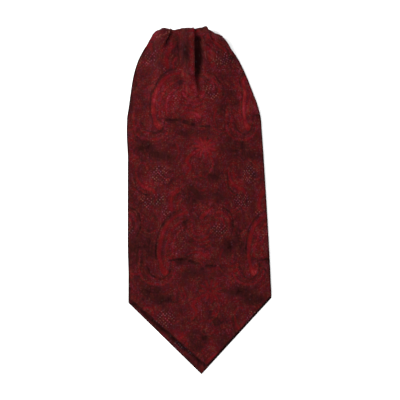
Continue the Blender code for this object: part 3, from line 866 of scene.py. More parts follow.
SHADED = (
    Stroke(1.4, 2.0, ((-34, -63), (-25, -62), (-16, -62))),
    Stroke(3.2, 2.8, ((-13, -64), (-8, -66), (-3, -67))),
    Stroke(2.6, 2.6, ((4, -69), (9, -69), (14, -69))),
    Stroke(1.2, 1.2, ((24, -8), (31, -12), (34, -20), (34, -30), (30, -38))),
    Stroke(1.2, 1.4, ((-20, -10), (-29, -14), (-39, -24), (-45, -37), (-48, -50), (-48, -62))),
    Stroke(1.2, 1.2, ((-33, -66), (-35, -76), (-43, -83), (-53, -79), (-58, -70))),
    Stroke(1.2, 1.2, ((30, -130), (32, -139), (39, -145), (46, -146))),
)
Bloom = namedtuple("Bloom", "u v petals inner outer width")
BLOOMS = (
    Bloom(7.5, -95.5, 11, 2.4, 11.5, 3.0),
    Bloom(45, -20, 7, 2.6, 4.6, 1.5),
    Bloom(-52, -24, 8, 2.4, 6.0, 1.4),
    Bloom(-24, -136, 7, 2.0, 5.5, 1.4),
)
Patch = namedtuple("Patch", "u v wide high amount")
NETS = (
    Patch(-23, -42, 14, 22, 0.5), Patch(20, -32, 10, 9, 1.0), Patch(54, -152, 7, 8, 1.0),
    Patch(60, -126, 7, 9, 1.0), Patch(-41, -122, 7, 7, 1.0), Patch(-57, -2, 7, 10, 0.9),
    Patch(-45, 25, 7, 8, 0.9), Patch(-35, -13, 6, 8, 0.7),
)
TONES = (
    # darker ground
    Patch(29, -50, 6, 10, -0.9), Patch(45, -51, 5, 8, -0.8), Patch(41, -97, 13, 6, -0.45),
    Patch(-56, -95, 13, 6, -0.6), Patch(15, -127, 10, 6, -0.9), Patch(-42, -105, 15, 5, -0.9),
    Patch(-58, -40, 6, 10, -0.6), Patch(-8, -78, 16, 6, -0.5), Patch(-22, -64, 9, 4, -0.9),
    Patch(20, 4, 9, 6, -0.5), Patch(-6, 6, 12, 9, -0.9), Patch(-16, -24, 3.5, 7, -0.9), Patch(-28, -150, 9, 6, -0.6),
    # brighter figure
    Patch(-35, -40, 12, 27, 0.4), Patch(7.5, -96, 13, 12, 1.1), Patch(-1, -31, 9, 8, 0.5),
    Patch(42, -136, 9, 8, 0.6), Patch(-10, -114, 7, 13, 0.5), Patch(-41, -74, 8, 6, 0.5),
    Patch(24, -18, 8, 9, 0.3), Patch(-27, 3, 8, 11, 0.7), Patch(1, -57, 10, 5, 0.8),
    Patch(-17, -13, 6, 6, 0.8), Patch(8, -12, 7, 4.5, 0.7), Patch(-48, -128, 8, 9, 0.3),
)
BLADE_TONES_AND_PAINTED_LIGHT = (
    # on the blade, not on the repeat: painted shade on the climb to the middle pleat, a painted highlight on its
    # ridge, painted shade on the ground beside it
    Patch(-13.5, 154, 2.4, 10, -0.6), Patch(-7.5, 152, 3.2, 26, 1.1), Patch(-24.5, 158, 4, 11, -0.6),
    # painted highlights on the pleat's edge at the fold, and where it ends
    Patch(-1.0, 175, 4, 4, 1.2), Patch(-4.0, 119, 2.6, 8, 0.6),
    # lighter and darker patches at the point
    Patch(-20, -146, 12, 8, 0.1), Patch(-2, -157, 10, 9, -0.2), Patch(13, -153, 6, 8, 0.6), Patch(1, -146, 6, 6, 0.55),
    # the upper half catches more light, its right-hand drop most of all, and the lower flower least
    Patch(-5, 104, 75, 24, 0.37), Patch(45, 98, 5, 22, 0.8), Patch(-60, 108, 8, 18, 0.3), Patch(9, -96, 12, 12, -0.8),
    Patch(14, 147, 12, 16, 0.5), Patch(-24, 106, 9, 12, 0.35), Patch(34, 23, 5, 9, 0.6),
    Patch(37, 55, 10, 6, 0.3), Patch(-40, -50, 5, 12, -0.3), Patch(-62, -70, 10, 18, -0.55), Patch(-67, -20, 6, 22, -0.35),
)
print("strokes:", len(BROAD), "broad,", len(FINE), "fine,", len(SHADED), "dark;", len(BLOOMS), "blooms")

# %% [markdown]
# ## From the chart to the cloth
#
# Every point of the cloth asks how far it is from the nearest stroke of the repeat. The answers are
# stored as attributes of the mesh. The material turns a distance into an edge as sharp as it likes,
# which a painted colour on the same points couldn't give.

# %% Distances to the strokes
STROKE_STEP = 1.6
FARTHEST = 12.0


def smooth_path(points):
    """Points about STROKE_STEP apart on a smooth curve through the given ones."""
    points = np.array(points, float)
    padded = np.concatenate([2 * points[:1] - points[1:2], points, 2 * points[-1:] - points[-2:-1]])
    found = []
    for before, start, end, behind in zip(padded, padded[1:], padded[2:], padded[3:]):
        steps = max(2, int(np.linalg.norm(end - start) / STROKE_STEP))
        for part in np.arange(steps) / steps:
            found.append(0.5 * (2 * start + (end - before) * part
                                + (2 * before - 5 * start + 4 * end - behind) * part ** 2
                                + (3 * start - before - 3 * end + behind) * part ** 3))
    found.append(points[-1])
    return np.array(found)


def wrapped(offset, period):
    return offset - period * np.round(offset / period)


def distance_to(strokes, u, v):
    """Distance from each point to the edge of the nearest stroke, less than 0 inside it."""
    nearest = np.full(u.shape, FARTHEST)
    for stroke in strokes:
        path = smooth_path(stroke.points)
        parts = np.linspace(0.0, 1.0, len(path))
        for (start, end), part in zip(zip(path, path[1:]), parts):
            middle = 0.5 * (start + end)
            reach = 0.5 * (end - start)
            off_u = wrapped(u - middle[0], REPEAT_WIDTH)
            off_v = wrapped(v - middle[1], REPEAT_HEIGHT)
            near = np.abs(off_u) + np.abs(off_v) < 1.5 * FARTHEST
            off_u = off_u[near]
            off_v = off_v[near]
            place = np.clip((off_u * reach[0] + off_v * reach[1]) / (reach @ reach), -1.0, 1.0)
            half_width = 0.5 * mix(stroke.start_width, stroke.end_width, part)
            away = np.hypot(off_u - place * reach[0], off_v - place * reach[1]) - half_width
            nearest[near] = np.minimum(nearest[near], away)
    return nearest


def petals_of(blooms):
    strokes = []
    for bloom in blooms:
        for petal in range(bloom.petals):
            angle = 2.0 * math.pi * (petal + 0.3) / bloom.petals
            ends = [(bloom.u + radius * math.sin(angle), bloom.v + radius * math.cos(angle))
                    for radius in (bloom.inner, bloom.outer)]
            strokes.append(Stroke(0.6 * bloom.width, bloom.width, tuple(ends)))
    return tuple(strokes)


def patches_at(patches, u, v, repeats=True):
    """Sum of soft patches, of the repeat or of one place on the blade."""
    total = np.zeros_like(u)
    for patch in patches:
        off_u, off_v = u - patch.u, v - patch.v
        if repeats:
            off_u, off_v = wrapped(off_u, REPEAT_WIDTH), wrapped(off_v, REPEAT_HEIGHT)
        total += patch.amount * np.exp(-((off_u / patch.wide) ** 2 + (off_v / patch.high) ** 2) ** 1.5)
    return total


def store(piece, name, values):
    attribute = piece.data.attributes.new(name, "FLOAT", "POINT")
    attribute.data.foreach_set("value", values.astype(np.float32))


def weave_pattern(piece, u, v):
    """Stores the paisley on a piece of silk."""
    store(piece, "broad_figure", distance_to(BROAD + petals_of(BLOOMS), u, v))
    store(piece, "fine_figure", distance_to(FINE, u, v))
    store(piece, "dark_figure", distance_to(SHADED, u, v))
    store(piece, "net", np.clip(patches_at(NETS, u, v), 0.0, 1.0))
    tone_and_painted_light = patches_at(TONES, u, v)
    # the blade's own patches: painted light and shade, added to the pattern's tones
    if piece == front:
        tone_and_painted_light += patches_at(BLADE_TONES_AND_PAINTED_LIGHT, front_x.ravel()[front_places], front_v.ravel()[front_places], False)
    store(piece, "tone_and_painted_light", np.clip(tone_and_painted_light, -1.3, 1.5))


for piece, (u, v) in ((front, front_cloth), (back, back_cloth), (band, band_cloth)):
    weave_pattern(piece, u, v)
    print(piece.name, "carries", len(piece.data.attributes), "attributes")

# %% [markdown]
# ## Painted shade at rims and in tucked places
#
# Along its edges the silk rolls under, and deep in a pleat or close to the hem above it little light gets in.
# That shade is painted: the cloth's colour is made darker there, by how far a point is from a rim or from a
# fold. They are stored as attributes too, because the same numbers then serve from every side.

# %% Distance to the rim, and the painted shade of tucked places
# painted shade right of each pleat's edge: from near to far millimetres beside it, by amount, between heights low_y
# and high_y
TuckPaintedShade = namedtuple("TuckPaintedShade", "near far amount low_y high_y")
PLEAT_PAINTED_SHADES = (  # right of each pleat's edge
    TuckPaintedShade(0.4, 2.2, 0.8, 169.0, 178.0), TuckPaintedShade(5.8, 10.6, 1.0, 130.0, 171.0), TuckPaintedShade(0.2, 1.2, 0.4, 171.0, 176.0),
)
PAINTED_SHADE_RAMP = 3.0
# painted shadow of the front blade's hem on the back blade, and HEM_SHADE as painted shade farther out
HEM_PAINTED_SHADOW = TuckPaintedShade(1.8, 4.6, 0.95, 0.0, 0.0)  # on the back blade, outside the front blade's hem
HEM_SHADE = 0.18
HEM_SLANT = 0.75
FAR_FROM_RIM = 20.0


def hem_height(hem, low, x):
    return np.where(x < hem.tip_x,
                    mix(hem.left_y, hem.tip_y, (x - low.left) / (hem.tip_x - low.left)),
                    mix(hem.tip_y, hem.right_y, (x - hem.tip_x) / (low.right - hem.tip_x)))


def rim_distance(x, y, hem, low, shown_rows):
    """Distance of each grid point from the nearest edge of the blade."""
    away = np.minimum(x - x[:, :1], x[:, -1:] - x)
    away = np.minimum(away, (y - hem_height(hem, low, x)) * HEM_SLANT)
    away[shown_rows:] = FAR_FROM_RIM
    return np.clip(away, 0.0, FAR_FROM_RIM)


def painted_shade_by_pleats(x, y):
    """How much painted shade each point of the front blade gets beside the pleats, from 0 to 1."""
    total = np.zeros_like(x)
    for pleat, tuck in zip(PLEATS, PLEAT_PAINTED_SHADES):
        height = np.clip((y - pleat.flat_y) / (FOLD_Y - pleat.flat_y), 0.0, 1.0)
        aside = x - mix(pleat.foot_x, pleat.top_x, height)
        closed = ease(tuck.low_y - PAINTED_SHADE_RAMP, tuck.low_y + PAINTED_SHADE_RAMP, y)
        closed = closed * (1.0 - ease(tuck.high_y - PAINTED_SHADE_RAMP, tuck.high_y + PAINTED_SHADE_RAMP, y))
        beside = ease(-0.4, 0.1, aside) * (1.0 - ease(tuck.near, tuck.far, aside))
        total = np.maximum(total, tuck.amount * closed * beside)
    return total


front_rim = rim_distance(front_x, front_y, FRONT_HEM, FRONT_SIDES[0], top_rows)
front_painted_shade = painted_shade_by_pleats(front_x, front_v)
store(front, "rim", front_rim.ravel()[front_places])
store(front, "painted_tuck_shade", front_painted_shade.ravel()[front_places])
back_rim = rim_distance(back_x, back_y, BACK_HEM, BACK_SIDES[0], back_top_rows)
# on the back blade the painted shadow is darkest just outside the front blade's hem
outside = (hem_height(FRONT_HEM, FRONT_SIDES[0], back_x) - back_y) * HEM_SLANT
back_painted_shade = mix(HEM_PAINTED_SHADOW.amount, HEM_SHADE, ease(HEM_PAINTED_SHADOW.near, HEM_PAINTED_SHADOW.far, outside))
back_painted_shade = back_painted_shade.ravel()[back_places]
back_painted_shade[back_x.size:] = 0.0  # the underside isn't tucked in anywhere
store(back, "rim", back_rim.ravel()[back_places])
store(back, "painted_tuck_shade", back_painted_shade)
store(band, "rim", np.full(len(band.data.vertices), FAR_FROM_RIM))
# the neckband lies between the blades, so it gets some painted shade all over
store(band, "painted_tuck_shade", np.full(len(band.data.vertices), 0.4))
print("most tucked place:", round(float(front_painted_shade.max()), 2))

# %% [markdown]
# ## The silk
#
# Jacquard silk is dark where the warp lies on top and bright where the figure's threads do. Its gloss is
# soft and takes the colour of the thread. The shader reads the chart's distances, adds threads at their
# real pitch for a close look and a coarser unevenness that shows from a step away, and raises the figure
# a little. Numbers that are the same all over are set on the shader itself.

# %% Small helpers for a material's nodes


def new_node(tree, kind, **values):
    """A shader node with its properties set, and its inputs set by name."""
    node = tree.nodes.new(kind)
    for name, value in values.get("settings", {}).items():
        setattr(node, name, value)
    for name, value in values.get("inputs", {}).items():
        connect(tree, value, node.inputs[name])
    return node


def connect(tree, value, socket):
    if isinstance(value, bpy.types.NodeSocket):
        tree.links.new(value, socket)
    else:
        socket.default_value = value


def calculate(tree, operation, first, second=0.0):
    node = new_node(tree, "ShaderNodeMath", settings={"operation": operation})
    connect(tree, first, node.inputs[0])
    connect(tree, second, node.inputs[1])
    return node.outputs[0]


def soft_step(tree, value, start, end, low=0.0, high=1.0):
    """Goes smoothly from low at start to high at end."""
    node = new_node(tree, "ShaderNodeMapRange", settings={"interpolation_type": "SMOOTHSTEP"}, inputs={
        "Value": value, "From Min": start, "From Max": end, "To Min": low, "To Max": high,
    })
    return node.outputs["Result"]


def blend_colours(tree, share, first, second):
    node = new_node(tree, "ShaderNodeMix", settings={"data_type": "RGBA"})
    connect(tree, share, node.inputs[0])
    connect(tree, first, node.inputs[6])
    connect(tree, second, node.inputs[7])
    return node.outputs[2]


def attribute(tree, name):
    return new_node(tree, "ShaderNodeAttribute", settings={"attribute_name": name}).outputs["Fac"]


def noise(tree, vector, scale, detail=2.0, roughness=0.5):
    node = new_node(tree, "ShaderNodeTexNoise", inputs={
        "Vector": vector, "Scale": scale, "Detail": detail, "Roughness": roughness,
    })
    return node.outputs["Fac"]


print("helpers ready")

# %% Threads and figure of the silk
MM_TO_UV = 100.0  # the UV map has 100 mm to a unit
THREAD_PITCH = 0.30
NET_PITCH = 2.6
CURL_PITCH = 3.0
ECHO_PITCH = 3.1  # between the lines that repeat a figure's outline in the ground
SILK_LEVELS = (
    # place on the ramp, then the colour: from the darkest painted shade to the brightest floating threads
    (0.00, (0.0036, 0.0009, 0.0009)),
    (0.22, (0.0150, 0.0028, 0.0028)),
    (0.42, (0.0340, 0.0023, 0.0027)),
    (0.62, (0.0630, 0.0020, 0.0030)),
    (0.82, (0.1080, 0.0074, 0.0100)),
    (1.00, (0.1500, 0.0290, 0.0330)),
)
WINE_GLINT = (0.0150, 0.0210, 0.0325, 1.0)  # single threads that catch the light
BROWN_GLINT = (0.0190, 0.0320, 0.0235, 1.0)
GROUND_LEVEL = 0.401


def total_of(tree, *terms):
    """Sum of (socket, factor, middle) terms: each socket less its middle, times its factor."""
    total = None
    for socket, factor, middle in terms:
        part = calculate(tree, "MULTIPLY", calculate(tree, "SUBTRACT", socket, middle), factor)
        total = part if total is None else calculate(tree, "ADD", total, part)
    return total


def silk_material(name):
    material = bpy.data.materials.new(name)
    material.use_nodes = True
    tree = material.node_tree
    shader = tree.nodes["Principled BSDF"]
    uv = new_node(tree, "ShaderNodeUVMap", settings={"uv_map": "cloth"}).outputs["UV"]

    def stretched(wide, high, turn=0.0):
        """Cloth coordinates in units of so many millimetres."""
        node = new_node(tree, "ShaderNodeMapping", inputs={
            "Vector": uv, "Scale": (MM_TO_UV / wide, MM_TO_UV / high, 1.0), "Rotation": (0.0, 0.0, turn),
        })
        return node.outputs["Vector"]

    def cells(wide, high, feature="F1", randomness=1.0, turn=0.0):
        return new_node(tree, "ShaderNodeTexVoronoi", settings={"feature": feature}, inputs={
            "Vector": stretched(wide, high, turn), "Scale": 1.0, "Randomness": randomness,
        })

    # unevenness of the weave
    grain = noise(tree, stretched(1.5, 2.0), 1.0, 3.0, 0.7)
    mottle = noise(tree, stretched(8.0, 10.0), 1.0, 3.0, 0.55)
    drift = noise(tree, stretched(26.0, 30.0), 1.0, 2.0, 0.5)
    slub = noise(tree, stretched(0.9, 12.0), 1.0, 1.0, 0.5)
    pick = noise(tree, stretched(12.0, 0.9), 1.0, 1.0, 0.5)

    shade = soft_step(tree, noise(tree, stretched(13.0, 9.0, 0.3), 1.0, 2.0, 0.6), 0.40, 0.27)

    # edges of the figure wander by a thread or two
    wander = total_of(tree, (grain, 1.2, 0.5), (mottle, 1.6, 0.5))
    broad_away = calculate(tree, "ADD", attribute(tree, "broad_figure"), wander)
    fine_away = calculate(tree, "ADD", attribute(tree, "fine_figure"), calculate(tree, "MULTIPLY", wander, 0.6))
    dark_away = calculate(tree, "ADD", attribute(tree, "dark_figure"), calculate(tree, "MULTIPLY", wander, 0.7))
    broad = soft_step(tree, broad_away, 0.5, -0.7)
    broken = soft_step(tree, noise(tree, stretched(2.6, 2.6), 1.0, 2.0, 0.6), 0.36, 0.58, 0.45, 1.0)
    fine = calculate(tree, "MULTIPLY", soft_step(tree, fine_away, 0.4, -0.3), broken)
    dark = calculate(tree, "MULTIPLY", soft_step(tree, dark_away, 0.9, -0.5), broken)
    halo = soft_step(tree, broad_away, 2.2, 0.6)

    # lines that follow the figures through the ground, broken here and there
    echo_wave = calculate(tree, "SINE", calculate(tree, "MULTIPLY", calculate(
        tree, "MINIMUM", attribute(tree, "broad_figure"), calculate(tree, "ADD", attribute(tree, "fine_figure"),
                                                                     0.6)), 2 * math.pi / ECHO_PITCH))
    echo = calculate(tree, "MULTIPLY", echo_wave, soft_step(tree, mottle, 0.35, 0.6))

    # seeds and scales that fill the ground
    seeds = cells(2.7, 2.9)
    spot = soft_step(tree, seeds.outputs["Distance"], 0.38, 0.16)
    pick_seed = new_node(tree, "ShaderNodeSeparateColor", inputs={"Color": seeds.outputs["Color"]})
    seeded = soft_step(tree, noise(tree, stretched(18.0, 16.0, 0.9), 1.0, 1.0, 0.5), 0.48, 0.62, 0.25, 1.0)
    spot = calculate(tree, "MULTIPLY", spot, seeded)
    seed = calculate(tree, "MULTIPLY", spot, soft_step(tree, pick_seed.outputs[0], 0.62, 0.70))
    pit = calculate(tree, "MULTIPLY", spot, soft_step(tree, pick_seed.outputs[0], 0.36, 0.28))
    scale_line = soft_step(tree, cells(5.2, 6.4, "DISTANCE_TO_EDGE").outputs["Distance"], 0.13, 0.03)
    scales = calculate(tree, "MULTIPLY", scale_line, soft_step(tree, drift, 0.42, 0.58))

    # curls of a few lines each, packed close, where the ground is plain
    curls = cells(13.0, 12.0)
    curl_wave = calculate(tree, "SINE", calculate(tree, "MULTIPLY", curls.outputs["Distance"],
                                                  2 * math.pi * 12.5 / CURL_PITCH))
    plain = calculate(tree, "MULTIPLY", soft_step(tree, attribute(tree, "broad_figure"), 1.0, 3.5), broken)
    curl = calculate(tree, "MULTIPLY", curl_wave, plain)

    # the net: light dots on a slanting lattice, each a little off its place
    lattice = cells(NET_PITCH, NET_PITCH, "F1", 0.32, math.radians(43))
    dots = soft_step(tree, lattice.outputs["Distance"], 0.42, 0.20)
    net = soft_step(tree, total_of(tree, (attribute(tree, "net"), 1.0, 0.0), (mottle, 1.6, 0.5)), 0.35, 0.75)
    netted = calculate(tree, "MULTIPLY", net, calculate(tree, "SUBTRACT", dots, 0.38))

    # one number for how much of the bright thread lies on top
    level = total_of(
        tree, (attribute(tree, "tone_and_painted_light"), 0.22, 0.0), (mottle, 0.52, 0.5), (drift, 0.36, 0.5), (grain, 0.06, 0.5),
        (shade, -0.15, 0.10), (slub, 0.12, 0.5), (pick, 0.07, 0.5), (echo, 0.046, 0.0), (curl, 0.031, 0.0), (seed, 0.08, 0.05), (pit, -0.11, 0.05),
        (scales, -0.12, 0.1), (netted, 0.25, 0.0), (halo, -0.10, 0.0), (fine, 0.155, 0.0), (broad, 0.225, 0.0),
        (dark, -0.25, 0.0),
    )
    level = calculate(tree, "ADD", level, GROUND_LEVEL)
    # painted shade: the colour is made darker in tucked places and along the rolled rim
    painted_tuck_shade = attribute(tree, "painted_tuck_shade")
    level = calculate(tree, "SUBTRACT", level, calculate(tree, "MULTIPLY", painted_tuck_shade, 0.36))
    rim = soft_step(tree, attribute(tree, "rim"), 1.5, 0.3, 0.0, 0.24)
    level = calculate(tree, "SUBTRACT", level, rim)
    ramp = tree.nodes.new("ShaderNodeValToRGB")
    connect(tree, level, ramp.inputs["Fac"])
    while len(ramp.color_ramp.elements) < len(SILK_LEVELS):
        ramp.color_ramp.elements.new(0.5)
    for element, (place, colour) in zip(ramp.color_ramp.elements, SILK_LEVELS):
        element.position = place
        element.color = (*colour, 1.0)

    # the hue shifts a little between wine and brown
    hue_noise = noise(tree, stretched(6.0, 9.0, 0.6), 1.0, 2.0, 0.6)
    browner = soft_step(tree, hue_noise, 0.38, 0.62)
    hue = blend_colours(tree, browner, (0.97, 0.94, 1.16, 1.0), (1.03, 1.12, 0.90, 1.0))
    glint_colour = blend_colours(tree, browner, WINE_GLINT, BROWN_GLINT)
    tinted = new_node(tree, "ShaderNodeMix", settings={"data_type": "RGBA", "blend_type": "MULTIPLY"})
    tinted.inputs[0].default_value = 1.0
    connect(tree, ramp.outputs["Color"], tinted.inputs[6])
    connect(tree, hue, tinted.inputs[7])
    # painted glints: single threads that catch the light, added to the base colour as small wine or brown spots
    glint = soft_step(tree, noise(tree, stretched(1.15, 1.15), 1.0, 1.0, 0.5), 0.56, 0.72)
    dull = soft_step(tree, noise(tree, stretched(4.5, 5.5, 0.9), 1.0, 2.0, 0.5), 0.46, 0.66, 0.0, 0.18)
    glint = calculate(tree, "ADD", glint, dull)
    glint = calculate(tree, "MULTIPLY", glint, soft_step(tree, level, 0.15, 0.55, 0.01, 0.76))
    plainer = calculate(tree, "MAXIMUM", broad, calculate(tree, "MULTIPLY", fine, 0.6))
    glint = calculate(tree, "MULTIPLY", glint, soft_step(tree, plainer, 0.0, 1.0, 1.0, 0.3))
    glint = calculate(tree, "MAXIMUM", glint, calculate(tree, "MULTIPLY", seed, 0.3))
    netted_glint = calculate(tree, "MULTIPLY", net, soft_step(tree, dots, 0.5, 1.0, 0.0, 0.9))
    glint = calculate(tree, "MAXIMUM", glint, calculate(tree, "MULTIPLY", netted_glint, broken))
    sparkling = new_node(tree, "ShaderNodeMix", settings={"data_type": "RGBA", "blend_type": "ADD"})
    connect(tree, glint, sparkling.inputs[0])
    connect(tree, tinted.outputs[2], sparkling.inputs[6])
    connect(tree, glint_colour, sparkling.inputs[7])
    connect(tree, sparkling.outputs[2], shader.inputs["Base Color"])

    # gloss: floating figure threads shine more than the ground
    shine = soft_step(tree, level, 0.25, 0.9, 0.58, 0.40)
    connect(tree, shine, shader.inputs["Roughness"])
    shader.inputs["Specular IOR Level"].default_value = 0.07
    shader.inputs["Specular Tint"].default_value = (0.90, 0.10, 0.12, 1.0)
    shader.inputs["Anisotropic"].default_value = 0.35
    shader.inputs["Sheen Weight"].default_value = 0.008
    shader.inputs["Sheen Roughness"].default_value = 0.45
    shader.inputs["Sheen Tint"].default_value = (1.0, 0.25, 0.28, 1.0)

    # relief: threads at their real pitch, and the figure raised over the ground
    threads = new_node(tree, "ShaderNodeSeparateXYZ", inputs={
        "Vector": stretched(THREAD_PITCH / (2 * math.pi), THREAD_PITCH / (2 * math.pi))})
    warp = calculate(tree, "SINE", threads.outputs[0])
    weft = calculate(tree, "SINE", calculate(tree, "ADD", threads.outputs[1],
                     calculate(tree, "MULTIPLY", threads.outputs[0], 0.5)))
    relief = total_of(tree, (warp, 0.25, 0.0), (weft, 0.25, 0.0), (grain, 1.6, 0.0), (broad, 0.8, 0.0),
                      (fine, 0.4, 0.0))
    bump = new_node(tree, "ShaderNodeBump", inputs={
        "Strength": 0.6, "Distance": 0.00012, "Height": relief,
    })
    connect(tree, bump.outputs["Normal"], shader.inputs["Normal"])
    return material


silk = silk_material("woven_paisley_silk")
for piece in (front, back, band):
    piece.data.materials.append(silk)
print("silk nodes:", len(silk.node_tree.nodes))

# %% [markdown]
# ## Stitches at the two seams
#
# The pleats stay closed because hand stitches hold them where each blade meets the neckband. They are
# many, alike and evenly spaced along a line, so Geometry Nodes place them. The tree takes a line, spaces
# points on it, sets a small grain of thread across the line at each, and makes them all one real mesh.

# %% A tree that sews along a line
thread_silk = bpy.data.materials.new("sewing_thread")
thread_silk.use_nodes = True
thread_tree = thread_silk.node_tree
thread_shader = thread_tree.nodes["Principled BSDF"]
place = new_node(thread_tree, "ShaderNodeTexCoord").outputs["Object"]
twist = new_node(thread_tree, "ShaderNodeTexWave", inputs={"Vector": place, "Scale": 2600.0, "Distortion": 1.0})
thread_colour = blend_colours(thread_tree, twist.outputs["Fac"], (0.030, 0.006, 0.007, 1.0),
                              (0.070, 0.012, 0.013, 1.0))
connect(thread_tree, thread_colour, thread_shader.inputs["Base Color"])
thread_shader.inputs["Roughness"].default_value = 0.55


def sewing_tree(material):
    """Geometry nodes that sew stitches across a line of points."""
    tree = bpy.data.node_groups.new("sewn_seam", "GeometryNodeTree")
    tree.interface.new_socket("Seam", in_out="INPUT", socket_type="NodeSocketGeometry")
    for name, size in (("Pitch", 2.2), ("Stitch Length", 1.6), ("Thread Thickness", 0.32)):
        socket = tree.interface.new_socket(name, in_out="INPUT", socket_type="NodeSocketFloat")
        socket.default_value = size * METRES
    tree.interface.new_socket("Stitches", in_out="OUTPUT", socket_type="NodeSocketGeometry")
    given = tree.nodes.new("NodeGroupInput")
    made = tree.nodes.new("NodeGroupOutput")
    curve = new_node(tree, "GeometryNodeMeshToCurve", inputs={"Mesh": given.outputs["Seam"]})
    points = new_node(tree, "GeometryNodeResampleCurve", settings={"mode": "LENGTH"}, inputs={
        "Curve": curve.outputs["Curve"], "Length": given.outputs["Pitch"]})
    grain = new_node(tree, "GeometryNodeMeshUVSphere", inputs={"Segments": 8, "Rings": 6, "Radius": 0.5})
    thickness = given.outputs["Thread Thickness"]
    size = new_node(tree, "ShaderNodeCombineXYZ", inputs={
        "X": thickness, "Y": given.outputs["Stitch Length"], "Z": thickness})
    sew = new_node(tree, "GeometryNodeInstanceOnPoints", inputs={
        "Points": points.outputs["Curve"], "Instance": grain.outputs["Mesh"], "Scale": size.outputs[0]})
    real = new_node(tree, "GeometryNodeRealizeInstances", inputs={"Geometry": sew.outputs["Instances"]})
    finished = new_node(tree, "GeometryNodeSetMaterial", inputs={
        "Geometry": real.outputs["Geometry"], "Material": material})
    tree.links.new(finished.outputs["Geometry"], made.inputs["Stitches"])
    return tree


def sewn(name, line, tree, sizes):
    """A plain mesh of stitches along a line of points in millimetres."""
    mesh = bpy.data.meshes.new(name + "_line")
    mesh.from_pydata([tuple(value * METRES for value in point) for point in line],
                     [(i, i + 1) for i in range(len(line) - 1)], [])
    seam = bpy.data.objects.new(name + "_line", mesh)
    bpy.context.collection.objects.link(seam)
    modifier = seam.modifiers.new("sewing", "NODES")
    modifier.node_group = tree
    for item in tree.interface.items_tree:
        if item.item_type == "SOCKET" and item.name in sizes:
            modifier[item.identifier] = sizes[item.name] * METRES
    evaluated = seam.evaluated_get(bpy.context.evaluated_depsgraph_get())
    plain = bpy.data.meshes.new_from_object(evaluated)
    seam.modifiers.remove(modifier)
    bpy.data.objects.remove(seam)
    stitches = bpy.data.objects.new(name, plain)
    bpy.context.collection.objects.link(stitches)
    return stitches


STITCH = {"Pitch": 2.2, "Stitch Length": 1.6, "Thread Thickness": 0.32}
seam_line = np.linspace(SEAM_LEFT + 3.0, SEAM_RIGHT - 3.0, 12)
seam_middle = SEAM_Y - 0.5 * SEAM_GAP
tree = sewing_tree(thread_silk)
front_stitches = sewn("front_seam_stitches", [(x, seam_middle, BAND_TOP + 0.05) for x in seam_line], tree, STITCH)
back_stitches = sewn("back_seam_stitches", [(x, seam_middle, BAND_BOTTOM - 0.05) for x in seam_line], tree, STITCH)
print("stitches:", len(front_stitches.data.polygons) // 48, "at the front seam")

# %% [markdown]
# ## What each piece stands for
#
# Each dressed piece hides the solid that it was made from, which stays in the physics model. The area of
# each piece of cloth is printed.

# %% Tie the pieces to the frame


def mesh_area(piece):
    """Area of one face of a closed piece of cloth, in square metres."""
    areas = np.empty(len(piece.data.polygons))
    piece.data.polygons.foreach_get("area", areas)
    return 0.5 * float(areas.sum())


for piece, node in ((front, "front_blade"), (back, "back_blade"), (band, "neckband")):
    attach(piece, "root")
    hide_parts(node)
for stitches, node in ((front_stitches, "front_blade"), (back_stitches, "back_blade")):
    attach(stitches, "root")

for piece in (front, back, band):
    print(piece.name, "measures", round(mesh_area(piece), 4), "square metres")

# %% [markdown]
# ## Floor, light and camera
#
# The photograph is a cut-out on white, taken from straight above. A pale floor under an even white sky
# gives that white. One soft lamp at the upper left makes the middle pleat throw its dark shadow to the
# right, and painted shade beside the pleat deepens it. The camera has a long lens, so the raised parts aren't drawn
# larger than the flat ones.

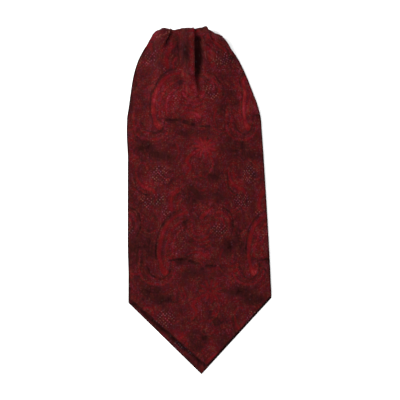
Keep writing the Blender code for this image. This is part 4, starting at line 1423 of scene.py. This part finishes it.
# %% Studio
floor_mesh = bpy.data.meshes.new("studio_floor")
FLOOR_HALF = 3.0
FLOOR_HEIGHT = -0.0002  # just under the cloth, so that no two faces lie in one plane
corners = ((-1, -1), (1, -1), (1, 1), (-1, 1))
floor_mesh.from_pydata([(FLOOR_HALF * x, FLOOR_HALF * y, FLOOR_HEIGHT) for x, y in corners], [], [(0, 1, 2, 3)])
floor = bpy.data.objects.new("studio_floor", floor_mesh)
bpy.context.collection.objects.link(floor)
paper = bpy.data.materials.new("pale_paper")
paper.use_nodes = True
paper_tree = paper.node_tree
paper_place = new_node(paper_tree, "ShaderNodeTexCoord").outputs["Object"]
fibres = noise(paper_tree, paper_place, 40.0)
paper_colour = blend_colours(paper_tree, fibres, (0.92, 0.92, 0.92, 1.0), (0.95, 0.95, 0.95, 1.0))
connect(paper_tree, paper_colour, paper_tree.nodes["Principled BSDF"].inputs["Base Color"])
paper_tree.nodes["Principled BSDF"].inputs["Roughness"].default_value = 0.9
paper_tree.nodes["Principled BSDF"].inputs["Specular IOR Level"].default_value = 0.1
floor_mesh.materials.append(paper)

SKY_STRENGTH = 1.25
world = bpy.data.worlds.new("even_white")
world.use_nodes = True
world.node_tree.nodes["Background"].inputs["Color"].default_value = (1.0, 1.0, 1.0, 1.0)
world.node_tree.nodes["Background"].inputs["Strength"].default_value = SKY_STRENGTH
bpy.context.scene.world = world

Lamp = namedtuple("Lamp", "name place size power")
LAMPS = (
    Lamp("key_lamp", (-1.15, 0.45, 0.95), 0.45, 30.0),
    Lamp("fill_lamp", (0.9, -0.8, 1.7), 1.2, 6.0),
)
for lamp in LAMPS:
    light = bpy.data.lights.new(lamp.name, "AREA")
    light.size = lamp.size
    light.energy = lamp.power
    holder = bpy.data.objects.new(lamp.name, light)
    bpy.context.collection.objects.link(holder)
    holder.location = lamp.place
    down = -holder.location.normalized()
    holder.rotation_mode = "QUATERNION"
    holder.rotation_quaternion = down.to_track_quat("-Z", "Y")

VIEW_SIDE = 0.420  # metres across the photograph at the height of the cloth
CLOTH_HEIGHT = 0.006
VIEW_CENTRE = (0.0006, 0.0003)
camera_data = bpy.data.cameras.new("overhead_camera")
camera_data.sensor_width = 36.0
camera_data.lens = 135.0
camera = bpy.data.objects.new("overhead_camera", camera_data)
bpy.context.collection.objects.link(camera)
distance = VIEW_SIDE * camera_data.lens / camera_data.sensor_width
camera.location = (*VIEW_CENTRE, CLOTH_HEIGHT + distance)
camera_data.clip_start = 0.01
camera_data.clip_end = 20.0
bpy.context.scene.camera = camera
bpy.context.scene.view_settings.view_transform = "Standard"
print("camera", round(distance, 3), "m above the cloth")
